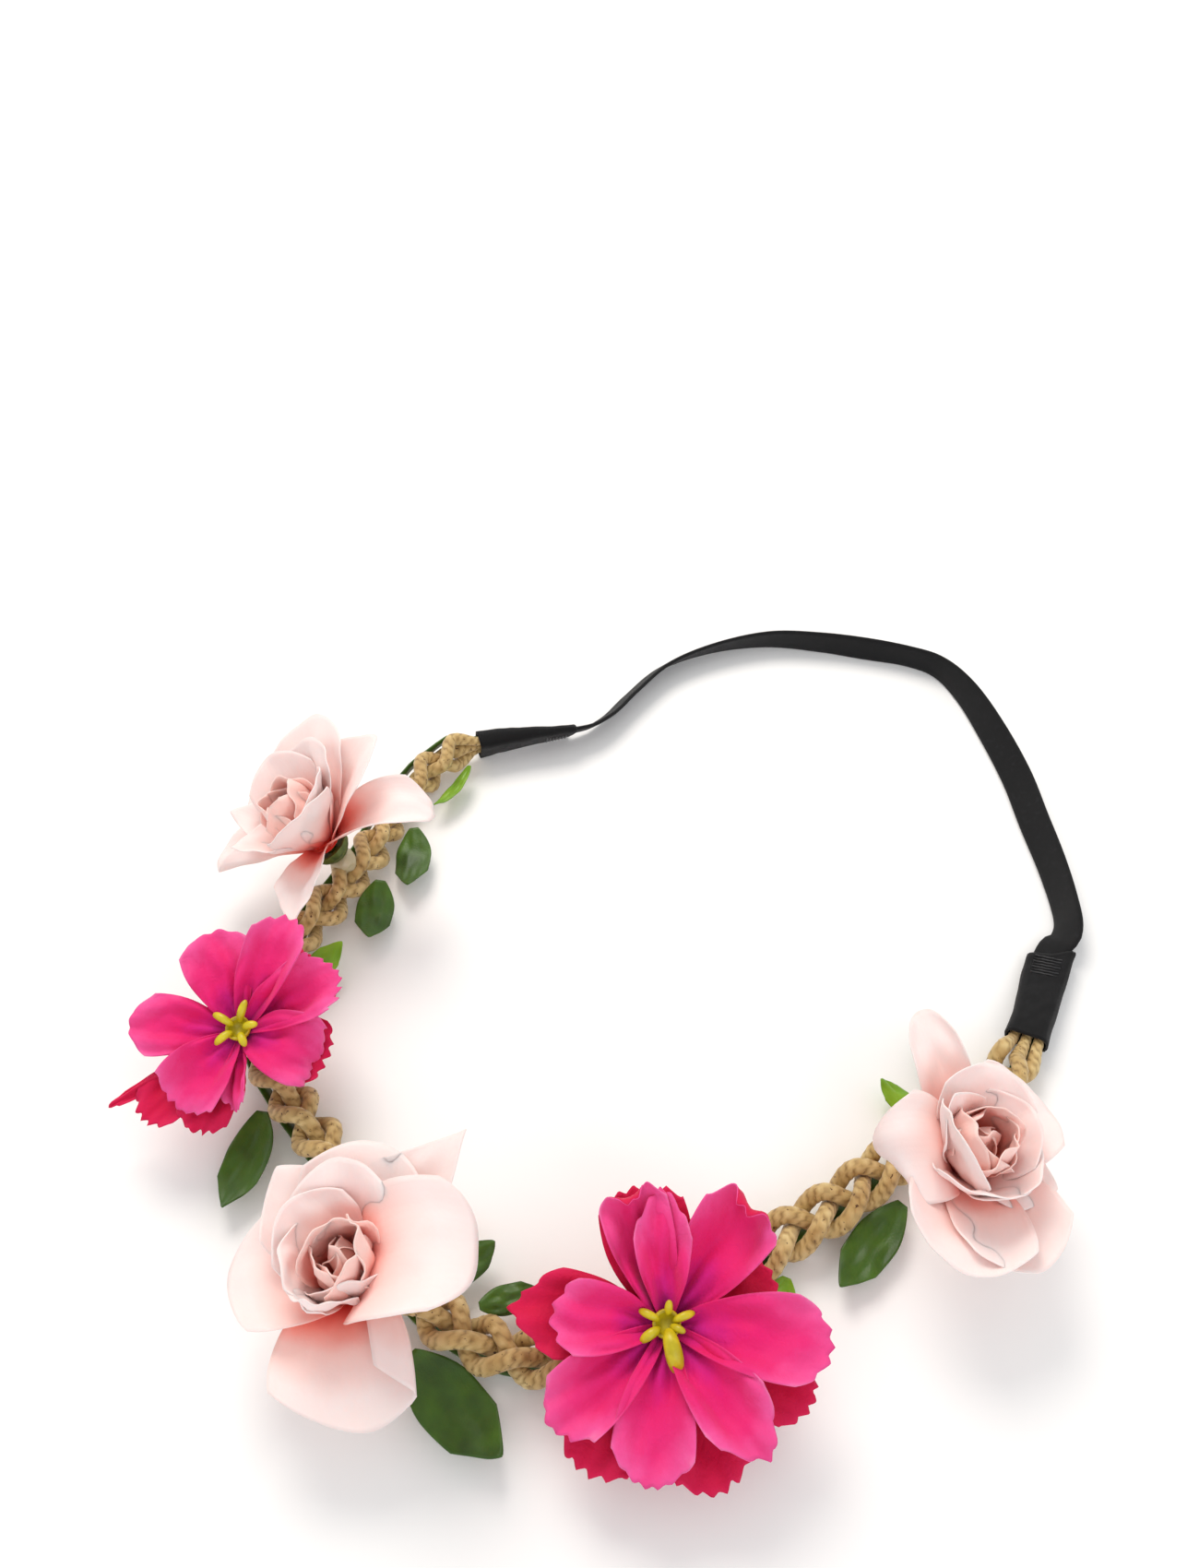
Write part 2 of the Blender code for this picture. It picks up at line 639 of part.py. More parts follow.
def add_stamens(name, base, material, parent):
    """Moulded yellow button with blunt fingers that stand around it."""
    fingers = 5
    bm = bmesh.new()
    sides = 2 * fingers
    low = [bm.verts.new((STAMEN_RADIUS * 0.8 * math.cos(math.pi * i / fingers),
                         STAMEN_RADIUS * 0.8 * math.sin(math.pi * i / fingers), base))
           for i in range(sides)]
    rim = [bm.verts.new((STAMEN_RADIUS * math.cos(math.pi * i / fingers),
                         STAMEN_RADIUS * math.sin(math.pi * i / fingers), base + 1.6 * MM))
           for i in range(sides)]
    bm.faces.new(low)
    tops = []
    pole = bm.verts.new((0, 0, base + 1.9 * MM))
    for i in range(sides):
        following = (i + 1) % sides
        bm.faces.new((low[i], low[following], rim[following], rim[i]))
        tops.append(bm.faces.new((rim[i], rim[following], pole)))
    bmesh.ops.recalc_face_normals(bm, faces=bm.faces)
    for finger in range(fingers):
        face = tops[2 * finger]
        centre = face.calc_center_median()
        bmesh.ops.inset_individual(bm, faces=[face], thickness=0.12 * MM)
        grown = bmesh.ops.extrude_discrete_faces(bm, faces=[face])["faces"][0]
        outward = Vector((centre.x, centre.y, 0)).normalized() * 1.3 * MM
        bmesh.ops.translate(bm, vec=outward + Vector((0, 0, 3.2 * MM)), verts=grown.verts)
    add_object(name, mesh_from(bm, name), material, parent)


def add_cosmos(name, turn, reach, materials, parent):
    first = math.radians(turn)
    petals = 7
    add_calyx(f"{name}_calyx", 2.6 * MM, 3.8 * MM, materials["calyx"], parent)
    back_hub = FIRST_LAYER
    front_hub = back_hub + LAYER_STEP
    back = [
        (HUB_RADIUS, back_hub, 1.0), (0.3 * COSMOS_BACK_SHARE * reach, back_hub + 0.3 * MM, 0.8),
        (0.6 * COSMOS_BACK_SHARE * reach, back_hub + 0.6 * MM, 0.9),
        (0.88 * COSMOS_BACK_SHARE * reach, back_hub + 0.2 * MM, 0.82),
        (COSMOS_BACK_SHARE * reach, back_hub - 0.6 * MM, 0.45),
    ]
    front = [
        (HUB_RADIUS, front_hub, 1.0), (0.3 * reach, front_hub + 1.2 * MM, 0.8),
        (0.6 * reach, front_hub + 2.6 * MM, 0.9),
        (0.88 * reach, front_hub + 3.4 * MM, 0.82),
        (reach, front_hub + 3.0 * MM, 0.45),
    ]
    add_petal_layer(f"{name}_back_petals", petals, first + math.pi / petals, back,
                    materials["cosmos_back"], parent)
    add_petal_layer(f"{name}_front_petals", petals, first, front, materials["cosmos"], parent)
    pin_top = front_hub + PETAL_THICKNESS / 2 + GAP
    add_pin(f"{name}_pin", pin_top, materials["pin"], parent)
    add_stamens(f"{name}_stamens", pin_top + GAP, materials["stamen"], parent)


def add_flower(loop, spec, materials):
    name, kind, distance, shift, standoff, axis, turn, reach = spec
    point, along, across, face = braid_at(loop, distance)
    outward = Vector((-along.y, along.x, 0.0))
    up = Vector(axis).normalized()
    first_way = (PETAL_ZERO - up * PETAL_ZERO.dot(up)).normalized()
    second_way = up.cross(first_way)
    stem = bpy.data.objects.new(f"{name}_stem", None)
    bpy.context.collection.objects.link(stem)
    frame = Matrix((first_way, second_way, up)).transposed().to_4x4()
    frame.translation = point + outward * shift + up * (BRAID_HALF_THICKNESS + standoff)
    stem.matrix_world = frame
    bpy.context.view_layer.update()
    add_glue(f"{name}_glue", materials["glue"], stem)
    if kind == "rose":
        add_rose(name, turn, reach, materials, stem)
    else:
        add_cosmos(name, turn, reach, materials, stem)


def build():
    clear_scene()
    materials = {
        "cord": make_material("waxed cotton cord", (0.62, 0.44, 0.20), 0.55),
        "leaf": make_material("green satin leaf", (0.045, 0.12, 0.01), 0.45),
        "fabric": make_material("black sleeve fabric", (0.006, 0.006, 0.007), 0.7),
        "elastic": make_material("black knitted elastic", (0.004, 0.004, 0.005), 0.8),
        "thread": make_material("black sewing thread", (0.02, 0.02, 0.022), 0.6),
        "rose": make_material("blush polyester petal", (0.90, 0.70, 0.66), 0.75),
        "cosmos": make_material("hot pink polyester petal", (0.85, 0.03, 0.20), 0.7),
        "cosmos_back": make_material("crimson polyester petal", (0.68, 0.01, 0.08), 0.7),
        "stamen": make_material("yellow moulded stamen", (0.66, 0.52, 0.01), 0.4),
        "calyx": make_material("green moulded calyx", (0.09, 0.11, 0.02), 0.45),
        "pin": make_material("green moulded pin", (0.07, 0.09, 0.03), 0.45),
        "glue": make_material("set hot glue", (0.62, 0.58, 0.46), 0.25),
    }
    loop = Loop()
    add_cords(loop, materials["cord"])
    add_leaf_ribbon(loop, materials["leaf"])
    sleeves = {
        "sleeve_right": (0.0, SLEEVE_LENGTH),
        "sleeve_left": (2 * SLEEVE_LENGTH + BRAID_LENGTH, SLEEVE_LENGTH + BRAID_LENGTH),
    }
    for name, (exit_at, mouth_at) in sleeves.items():
        add_sleeve(name, loop, exit_at, mouth_at, materials["fabric"])
        add_stitches(f"{name}_stitches", loop, exit_at, mouth_at, materials["thread"])
    add_strap(loop, materials["elastic"])
    for i, spec in enumerate(LEAVES):
        add_leaf(f"leaf_{i + 1:02d}", loop, spec, materials["leaf"])
    for spec in FLOWERS:
        add_flower(loop, spec, materials)


build()
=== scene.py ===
"""Flower crown: the looks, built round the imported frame.  All sizes are in metres."""

import math
import bmesh
import bpy
from mathutils import Matrix, Vector, noise


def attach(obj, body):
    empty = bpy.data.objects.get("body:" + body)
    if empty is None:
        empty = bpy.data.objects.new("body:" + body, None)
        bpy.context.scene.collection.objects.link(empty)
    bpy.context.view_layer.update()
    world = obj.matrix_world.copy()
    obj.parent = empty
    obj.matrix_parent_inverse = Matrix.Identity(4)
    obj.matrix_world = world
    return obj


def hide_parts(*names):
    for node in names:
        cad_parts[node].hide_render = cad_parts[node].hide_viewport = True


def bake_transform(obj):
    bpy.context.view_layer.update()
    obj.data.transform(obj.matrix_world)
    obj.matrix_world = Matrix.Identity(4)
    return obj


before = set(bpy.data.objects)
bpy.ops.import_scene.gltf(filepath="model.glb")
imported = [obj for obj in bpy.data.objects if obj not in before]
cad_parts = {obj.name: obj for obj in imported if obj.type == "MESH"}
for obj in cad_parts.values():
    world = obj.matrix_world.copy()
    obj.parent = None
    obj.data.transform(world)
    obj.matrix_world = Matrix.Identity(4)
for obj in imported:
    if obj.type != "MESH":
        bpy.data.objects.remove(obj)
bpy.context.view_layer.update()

MM = 0.001
GARLAND = "garland"

# ------------------------------------------------------------------------------ camera
# A hand-held camera above the wearer's side of the crown, 50 degrees above the table.

camera_right = Vector((0.85173, 0.52399, 0.0))
camera_up = Vector((-0.40140, 0.65246, 0.64279))
camera_data = bpy.data.cameras.new("Camera")
camera_data.lens = 28.588
camera_data.sensor_width = 36.0
camera = bpy.data.objects.new("Camera", camera_data)
camera.matrix_world = Matrix.Translation((0.06067, -0.12581, 0.2247)) @ Matrix(
    (camera_right, camera_up, camera_right.cross(camera_up))).transposed().to_4x4()
bpy.context.collection.objects.link(camera)
bpy.context.scene.camera = camera


# ------------------------------------------------------- the middle line of the crown
# The braid, sleeves and elastic follow one closed line that lies on the table.  It is
# read by the distance along it, clockwise from the strap's end of the right sleeve.

LOOP_HALF = (71 * MM, 97 * MM)
LOOP_MIDDLE = (-1.1 * MM, 13.3 * MM)
SLEEVE_LENGTH = 22.5 * MM
BRAID_LENGTH = 288 * MM
LEAD_LENGTH = 6 * MM
# x and y as percentages of the loop's half sizes, and the band's lean in degrees.
LOOP_ROUTE = [
    (97, 30, -72), (100, 7, -76), (97.6, -7, -80), (91.5, -19.5, -82), (82, -32, -82),
    (75.5, -44, -80), (69.5, -52, -80), (61, -65.5, -78), (53, -78.5, -76), (43.8, -89, -74),
    (33.8, -95.2, -70), (21.5, -99, -68), (8.7, -100, -66), (-6.6, -98, -62), (-24, -92.2, -58),
    (-38, -87.7, -54), (-48, -85.5, -50), (-64, -81.3, -45), (-79.4, -75.3, -40),
    (-89, -65, -34), (-93, -53.2, -28), (-93, -41.5, -22), (-94.5, -27.4, -14),
    (-97.5, -18, -8), (-99.6, -9, -2), (-99, 2, 8), (-92.4, 13.4, 20), (-69.7, 30.1, 36),
    (-64, 38, 38), (-62.3, 49.5, 38), (-59, 63, 37), (-48.6, 75.3, 28), (-33.8, 85.6, 14),
    (-17, 91.8, 4), (-1.4, 95.9, -3), (12.7, 99, 2), (24, 99.4, -5), (36.6, 94.8, -25),
    (50.7, 86, -45), (64.8, 75.3, -58), (76, 64, -52), (87.3, 52.6, -40), (96, 42.3, -34),
    (98.6, 36, -52),
]
# Half width and half thickness of the band at marks along it, which set its height.
SLEEVE_EXIT_SIZE = (4.4 * MM, 1.35 * MM)
SLEEVE_MOUTH_SIZE = (4.4 * MM, 2.65 * MM)
BRAID_SIZE = (4.7 * MM, 4.2 * MM)
STRAP_SIZE = (3.5 * MM, 0.45 * MM)
STRAP_SETTLE = 14 * MM


def mix(a, b, share):
    return a + (b - a) * share


def smoothstep(share):
    share = min(max(share, 0.0), 1.0)
    return share * share * (3 - 2 * share)


class Loop:
    def __init__(self, steps=14):
        knots = [Vector((LOOP_MIDDLE[0] + x * LOOP_HALF[0] / 100,
                         LOOP_MIDDLE[1] + y * LOOP_HALF[1] / 100, lean))
                 for x, y, lean in LOOP_ROUTE]
        self.points = []
        for i in range(len(knots)):
            p0, p1, p2, p3 = (knots[(i + k) % len(knots)] for k in (-1, 0, 1, 2))
            for step in range(steps):
                t = step / steps
                self.points.append(
                    0.5 * (2 * p1 + (p2 - p0) * t + (2 * p0 - 5 * p1 + 4 * p2 - p3) * t * t
                           + (3 * p1 - p0 - 3 * p2 + p3) * t ** 3))
        self.marks = [0.0]
        for a, b in zip(self.points, self.points[1:] + self.points[:1]):
            self.marks.append(self.marks[-1] + (b.xy - a.xy).length)
        self.length = self.marks[-1]

    def flat_point(self, distance):
        distance = distance % self.length
        low, high = 0, len(self.points)
        while high - low > 1:
            middle = (low + high) // 2
            low, high = (middle, high) if self.marks[middle] <= distance else (low, middle)
        share = (distance - self.marks[low]) / (self.marks[low + 1] - self.marks[low])
        return self.points[low].lerp(self.points[(low + 1) % len(self.points)], share)

    def half_size(self, distance):
        mouth = SLEEVE_LENGTH + BRAID_LENGTH
        marks = [
            (0.0, SLEEVE_EXIT_SIZE), (SLEEVE_LENGTH, SLEEVE_MOUTH_SIZE),
            (SLEEVE_LENGTH + LEAD_LENGTH, BRAID_SIZE), (mouth - LEAD_LENGTH, BRAID_SIZE),
            (mouth, SLEEVE_MOUTH_SIZE), (mouth + SLEEVE_LENGTH, SLEEVE_EXIT_SIZE),
            (mouth + SLEEVE_LENGTH + STRAP_SETTLE, STRAP_SIZE),
            (self.length - STRAP_SETTLE, STRAP_SIZE), (self.length, SLEEVE_EXIT_SIZE),
        ]
        for (start, near), (end, far) in zip(marks, marks[1:]):
            if distance <= end:
                share = (distance - start) / (end - start)
                return mix(near[0], far[0], share), mix(near[1], far[1], share)

    def at(self, distance):
        """Point, direction, width direction and face direction of the band."""
        distance = distance % self.length
        here, ahead, behind = (self.flat_point(distance + d) for d in (0, 1 * MM, -1 * MM))
        along = (ahead.xy - behind.xy).to_3d().normalized()
        inward = Vector((along.y, -along.x, 0.0))
        lean = math.radians(here.z)
        width = inward * math.sin(lean) + Vector((0, 0, 1)) * math.cos(lean)
        half_width, half_thickness = self.half_size(distance)
        height = half_width * abs(math.cos(lean)) + half_thickness * abs(math.sin(lean))
        return Vector((here.x, here.y, height)), along, width, along.cross(width)

    def beside(self, distance, across, through):
        point, along, width, face = self.at(distance)
        return point + width * across + face * through


loop = Loop()


# ------------------------------------------------------------------------ braided cords
# Three straw-coloured cords of waxed cotton, each a fine diagonal sheath over a soft
# core, braided flat by hand.  Their ends are pressed side by side inside the sleeves.

CORD_DIAMETER = 3.05 * MM
PRESSED_DIAMETER = 2.1 * MM
BRAID_PITCH = 26 * MM
BRAID_SPREAD = 3.3 * MM
BRAID_RISE = 2.1 * MM
CORD_TUCK = 8 * MM
CORD_STEP = 0.55 * MM
PRESSED_GAP = 0.3 * MM
# A tube's sides follow from the curve's bevel resolution.
CORD_RESOLUTION = 6
CORD_SIDES = 2 * (CORD_RESOLUTION + 2)
SHEATH_PITCH = 5.2 * MM
SHEATH_STRANDS_EACH_WAY = 3
SHEATH_RELIEF = 0.075 * MM


def linear(code):
    """Linear colour of an sRGB hex code."""
    values = [int(code[i:i + 2], 16) / 255 for i in (1, 3, 5)]
    return (*(v / 12.92 if v <= 0.04045 else ((v + 0.055) / 1.055) ** 2.4 for v in values), 1.0)


def add_node(tree, kind, settings=None, links=None):
    """One shader node; settings are its own properties or, by name or number, its sockets."""
    node = tree.nodes.new(kind)
    for key, value in (settings or {}).items():
        if isinstance(key, str) and key in node.bl_rna.properties:
            setattr(node, key, value)
        else:
            node.inputs[key].default_value = value
    for key, source in (links or {}).items():
        tree.links.new(source, node.inputs[key])
    return node


def new_material(name, **values):
    """A material with a Principled shader, and the shader's constant sockets set."""
    material = bpy.data.materials.new(name)
    material.use_nodes = True
    shader = material.node_tree.nodes["Principled BSDF"]
    for key, value in values.items():
        shader.inputs[key.replace("_", " ")].default_value = value
    return material, material.node_tree, shader


def coordinates(tree):
    """The cloth's own coordinates and the object's."""
    cloth = add_node(tree, "ShaderNodeUVMap", {"uv_map": "UVMap"})
    place = add_node(tree, "ShaderNodeTexCoord")
    return cloth.outputs["UV"], place.outputs["Object"]


def noise_of(tree, place, scale, detail, distortion=0.0):
    return add_node(tree, "ShaderNodeTexNoise",
                    {"Scale": scale, "Detail": detail, "Distortion": distortion},
                    {"Vector": place}).outputs["Fac"]


def waves_of(tree, cloth, direction, scale, distortion, detail=2.0, detail_scale=1.0):
    return add_node(tree, "ShaderNodeTexWave",
                    {"bands_direction": direction, "Scale": scale, "Distortion": distortion,
                     "Detail": detail, "Detail Scale": detail_scale},
                    {"Vector": cloth}).outputs["Fac"]


def math_of(tree, operation, *values):
    """A math node's output; each value is a number or another node's output."""
    node = add_node(tree, "ShaderNodeMath", {"operation": operation})
    for socket, value in enumerate(values):
        if isinstance(value, (int, float)):
            node.inputs[socket].default_value = value
        else:
            tree.links.new(value, node.inputs[socket])
    return node.outputs["Value"]


def ramp_of(tree, value, stops):
    """A colour ramp's output; each stop is a position and an sRGB hex code."""
    node = add_node(tree, "ShaderNodeValToRGB", None, {"Fac": value})
    elements = node.color_ramp.elements
    while len(elements) < len(stops):
        elements.new(0.5)
    for element, (position, colour) in zip(elements, stops):
        element.position = position
        element.color = linear(colour)
    return node.outputs["Color"]


def range_of(tree, value, low, high, top=1.0):
    return add_node(tree, "ShaderNodeMapRange", {"From Min": low, "From Max": high, "To Max": top},
                    {"Value": value}).outputs["Result"]


def mix_of(tree, factor, first, second, blend="MIX"):
    """A colour mix's output; each input is a constant or another node's output."""
    node = add_node(tree, "ShaderNodeMix", {"data_type": "RGBA", "blend_type": blend})
    for socket, value in ((0, factor), (6, first), (7, second)):
        if isinstance(value, (float, tuple)):
            node.inputs[socket].default_value = value
        else:
            tree.links.new(value, node.inputs[socket])
    return node.outputs[2]


def colour_and_bump(tree, shader, colour, height, strength, distance):
    bump = add_node(tree, "ShaderNodeBump", {"Strength": strength, "Distance": distance},
                    {"Height": height})
    tree.links.new(colour, shader.inputs["Base Color"])
    tree.links.new(bump.outputs["Normal"], shader.inputs["Normal"])


def finish_piece(piece, material, body=GARLAND, replaced=(), reverse=None):
    """Gives a piece its material, its body and the nodes it stands for."""
    piece.data.materials.clear()
    piece.data.materials.append(material)
    if reverse:
        piece.data.materials.append(reverse)
    if body:
        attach(piece, body)
    if replaced:
        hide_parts(*replaced)


def place_mesh(mesh):
    """A piece at the origin that shows the mesh and takes its name."""
    mesh.shade_smooth()
    piece = bpy.data.objects.new(mesh.name, mesh)
    bpy.context.collection.objects.link(piece)
    return piece


def add_piece(name, bm):
    mesh = bpy.data.meshes.new(name)
    bm.to_mesh(mesh)
    bm.free()
    return place_mesh(mesh)


def tube_mesh(name, points, radii, resolution):
    """A round tube with filled ends along the points, as a mesh of rings of vertices."""
    curve = bpy.data.curves.new(name, "CURVE")
    curve.dimensions = "3D"
    curve.bevel_depth = 1.0
    curve.bevel_resolution = resolution
    curve.use_fill_caps = True
    spline = curve.splines.new("POLY")
    spline.points.add(len(points) - 1)
    for slot, point, radius in zip(spline.points, points, radii):
        slot.co = (*point, 1.0)
        slot.radius = radius
    holder = bpy.data.objects.new(name, curve)
    bpy.context.collection.objects.link(holder)
    mesh = bpy.data.meshes.new_from_object(holder.evaluated_get(
        bpy.context.evaluated_depsgraph_get()))
    bpy.data.objects.remove(holder)
    bpy.data.curves.remove(curve)
    mesh.name = name
    return mesh


def cord_point(cord, distance):
    """The braid crosses its three cords over and under, twice as often as side to side."""
    plaited = BRAID_LENGTH - 2 * LEAD_LENGTH
    turns = round(plaited / BRAID_PITCH)
    share = min(max((distance - LEAD_LENGTH) / plaited, 0.0), 1.0)
    angle = cord * 2 * math.pi / 3 + 2 * math.pi * turns * share
    loose = smoothstep(min(distance, BRAID_LENGTH - distance) / LEAD_LENGTH)
    side = (0, 1, -1)[cord] * (PRESSED_DIAMETER + PRESSED_GAP)
    across = mix(side, BRAID_SPREAD * math.sin(angle), loose)
    through = BRAID_RISE * math.sin(2 * angle) * loose
    diameter = mix(PRESSED_DIAMETER, CORD_DIAMETER, loose)
    return loop.beside(SLEEVE_LENGTH + distance, across, through), diameter / 2


def waxed_cord_material():
    """Waxed cotton cord: a straw sheath of crossing strands, with painted shade darkening the
    grooves between them, a few brown specks and a soft wax sheen."""
    material, tree, shader = new_material("waxed cotton cord", Specular_IOR_Level=0.35,
                                          Roughness=0.5, Sheen_Weight=0.2)
    cloth, place = coordinates(tree)
    ridge = add_node(tree, "ShaderNodeAttribute", {"attribute_name": "ridge"}).outputs["Fac"]
    base = ramp_of(tree, noise_of(tree, place, 260.0, 3.0),
                   [(0.25, "#B49258"), (0.5, "#D6BA80"), (0.75, "#E8D39C")])
    # Painted shade: the low parts of the sheath, between the strands, are darkened.
    groove_shade = ramp_of(tree, ridge, [(0.0, "#8E7346"), (0.45, "#E6DCC8"), (1.0, "#FFFFFF")])
    woven = mix_of(tree, 0.85, base, groove_shade, "MULTIPLY")
    specks = range_of(tree, noise_of(tree, place, 1100.0, 2.0), 0.66, 0.72)
    # Cotton threads of 0.25 mm, a touch coarser than real so that they still show.
    threads = waves_of(tree, cloth, "DIAGONAL", 2.2, 1.5)
    colour_and_bump(tree, shader, mix_of(tree, specks, woven, linear("#5A3A1C")), threads,
                    0.35, 0.1 * MM)
    return material


cord_material = waxed_cord_material()
cord_count = round((BRAID_LENGTH + 2 * CORD_TUCK) / CORD_STEP)
cord_distances = [-CORD_TUCK + (BRAID_LENGTH + 2 * CORD_TUCK) * i / cord_count
                  for i in range(cord_count + 1)]
for cord in range(3):
    stations = [cord_point(cord, distance) for distance in cord_distances]
    path = [point for point, radius in stations]
    mesh = tube_mesh(f"braid_cord_{cord + 1}", path, [radius for point, radius in stations],
                     CORD_RESOLUTION)
    # The sheath's strands cross both ways and stand out where they lie on top.
    heights = [0.5] * len(mesh.vertices)
    normals = [vertex.normal.copy() for vertex in mesh.vertices]
    run = 0.0
    for ring in range(cord_count + 1):
        if ring:
            run += (path[ring] - path[ring - 1]).length
        climb = run / SHEATH_PITCH * SHEATH_STRANDS_EACH_WAY
        for side in range(CORD_SIDES):
            index = ring * CORD_SIDES + side
            around = SHEATH_STRANDS_EACH_WAY * (side / CORD_SIDES)
            one = abs(math.sin(math.pi * (around + climb)))
            other = abs(math.sin(math.pi * (around - climb)))
            heights[index] = max(one, other) ** 2 * min(one, other) ** 0.5
            mesh.vertices[index].co += normals[index] * SHEATH_RELIEF * (heights[index] - 0.5) * 2
    # The strand heights also colour the cord: the low grooves get painted shade.
    mesh.attributes.new("ridge", "FLOAT", "POINT").data.foreach_set("value", heights)
    if not mesh.uv_layers:
        mesh.uv_layers.new(name="UVMap")
    mesh.uv_layers[0].name = "UVMap"
    for polygon in mesh.polygons:
        sides = [v % CORD_SIDES for v in polygon.vertices]
        at_seam = max(sides) - min(sides) > 1
        for corner in polygon.loop_indices:
            ring, side = divmod(mesh.loops[corner].vertex_index, CORD_SIDES)
            around = CORD_SIDES if at_seam and side == 0 else side
            mesh.uv_layers[0].data[corner].uv = (
                ring * CORD_STEP / MM, around / CORD_SIDES * math.pi * CORD_DIAMETER / MM)
    piece = place_mesh(mesh)
    finish_piece(piece, cord_material, replaced=[f"cord_{cord + 1}"])


# -------------------------------------------------------------- leaf ribbon and its leaves
# A green satin ribbon, heat-cut into leaves along a narrow core.  The core runs under the
# cords and shows in the gaps of the braid; the leaves stand out at its sides.

RIBBON_WIDTH = 2.6 * MM
RIBBON_THICKNESS = 0.4 * MM
RIBBON_DEPTH = 4.0 * MM
PRESSED_RIBBON_DEPTH = 1.55 * MM
RIBBON_TUCK = 4 * MM
RIBBON_STEPS = 120
RIBBON_RIPPLE = 0.25 * MM
LEAF_SLIP = 0.5 * MM
LEAF_ROOT_SHARE = 0.25
LEAF_THICKNESS = 0.25 * MM
# A visible leaf starts before its place and ends past its stated length.
LEAF_TUCK = 1.5 * MM
LEAF_EXTRA = 2 * MM
BRIGHT_LEAVES = (2, 4, 9, 12)
# Distance, angle of the root round the braid, heading from the braid, roll, length, width,
# the bow of its length in degrees, and its fold about the middle vein in degrees.
LEAVES = [
    (20 * MM, 170, 124, 20, 12 * MM, 7 * MM, 20, 30),
    (29 * MM, 170, 70, 10, 9 * MM, 5 * MM, 25, 40),
    (46 * MM, -10, 10, 0, 18 * MM, 8 * MM, -20, 25),
    (71 * MM, -12, 34, 0, 9 * MM, 6 * MM, -15, 30),
    (131 * MM, -20, 172, 0, 21 * MM, 11 * MM, -25, 25),
    (126 * MM, 154, 140, 10, 9 * MM, 5 * MM, 20, 40),
    (136 * MM, 152, 100, 10, 10 * MM, 6 * MM, 25, 35),
    (183 * MM, -48, 130, 10, 17 * MM, 9 * MM, -20, 20),
    (212 * MM, 112, 30, 20, 11 * MM, 6 * MM, 25, 40),
    (241 * MM, 106, 156, -10, 13 * MM, 8 * MM, 20, 25),
    (256 * MM, 98, 160, 10, 14 * MM, 8 * MM, 20, 25),
    (281 * MM, 80, 160, 30, 12 * MM, 4 * MM, 15, 30),
]


def sweep(bm, outline, places):
    """Extrudes a closed outline, a list of (across, through), through placed frames, and
    closes its ends."""
    ring = [bm.verts.new((0.0, across, through)) for across, through in outline]
    edges = [bm.edges.new((ring[i], ring[(i + 1) % len(ring)])) for i in range(len(ring))]
    bmesh.ops.transform(bm, matrix=places[0], verts=ring)
    first = list(edges)
    for before, after in zip(places, places[1:]):
        made = bmesh.ops.extrude_edge_only(bm, edges=edges)["geom"]
        verts = [g for g in made if isinstance(g, bmesh.types.BMVert)]
        edges = [g for g in made if isinstance(g, bmesh.types.BMEdge)
                 and all(v in verts for v in g.verts)]
        bmesh.ops.transform(bm, matrix=after @ before.inverted(), verts=verts)
    bmesh.ops.edgeloop_fill(bm, edges=first)
    bmesh.ops.edgeloop_fill(bm, edges=edges)
    bmesh.ops.recalc_face_normals(bm, faces=bm.faces)


def band_place(distance, through=0.0):
    """Frame on the band: X along it, Y across its width, Z out of its face."""
    point, along, width, face = loop.at(distance)
    place = Matrix((along, width, face)).transposed().to_4x4()
    place.translation = point + face * through
    return place


def satin_leaf_material(name, deep, fresh, edge):
    """Dyed polyester satin: deep green with a lighter middle vein and side veins, bright
    where the ribbon folds, and a soft satin sheen."""
    material, tree, shader = new_material(name, Specular_IOR_Level=0.4, Roughness=0.42,
                                          Sheen_Weight=0.15)
    cloth, place = coordinates(tree)
    axes = add_node(tree, "ShaderNodeSeparateXYZ", None, {"Vector": cloth})
    side = math_of(tree, "ABSOLUTE", math_of(tree, "SUBTRACT", axes.outputs["X"], 0.5))
    lean = math_of(tree, "MULTIPLY_ADD", side, -0.9, axes.outputs["Y"])
    side_veins = range_of(tree, math_of(tree, "PINGPONG", lean, 0.07), 0.012, 0.0)
    veins = math_of(tree, "MAXIMUM", side_veins, range_of(tree, side, 0.04, 0.0))
    ground = ramp_of(tree, noise_of(tree, place, 180.0, 2.0), [(0.2, deep), (0.8, fresh)])
    veined = mix_of(tree, math_of(tree, "MULTIPLY", veins, 0.35), ground, linear(edge))
    height = math_of(tree, "MULTIPLY_ADD", veins, -0.6, noise_of(tree, place, 2600.0, 1.0))
    colour_and_bump(tree, shader, veined, height, 0.4, 0.12 * MM)
    return material


def bezier(values, share):
    """Smooth value along a blade from its root, middle and tip values."""
    root, middle, tip = values
    return root * (1 - share) ** 2 + 2 * middle * share * (1 - share) + tip * share ** 2


BLADE = dict(
    length=20 * MM, width=14 * MM, root=0.3, widest=0.62, narrow=0.2,
    rise=(0, 0, 0), cup=(0, 0, 0), swing=0, twist=0, lip=None, curl=None,
    tip=(0.22, 2.4), teeth=None, ruffle=None, pleat=None, crumple=0.0, seed=0.0,
    columns=16, rows=18,
)
# Steps in which a blade's middle line and its cupped section are followed, and the number
# of places along a blade at which its middle line is kept.
SPINE_STEPS = 24
SECTION_STEPS = 8
SPINE_PLACES = 400
# Lumps of crumpled cloth across and along a blade.
CRUMPLES = (2.2, 4.0)


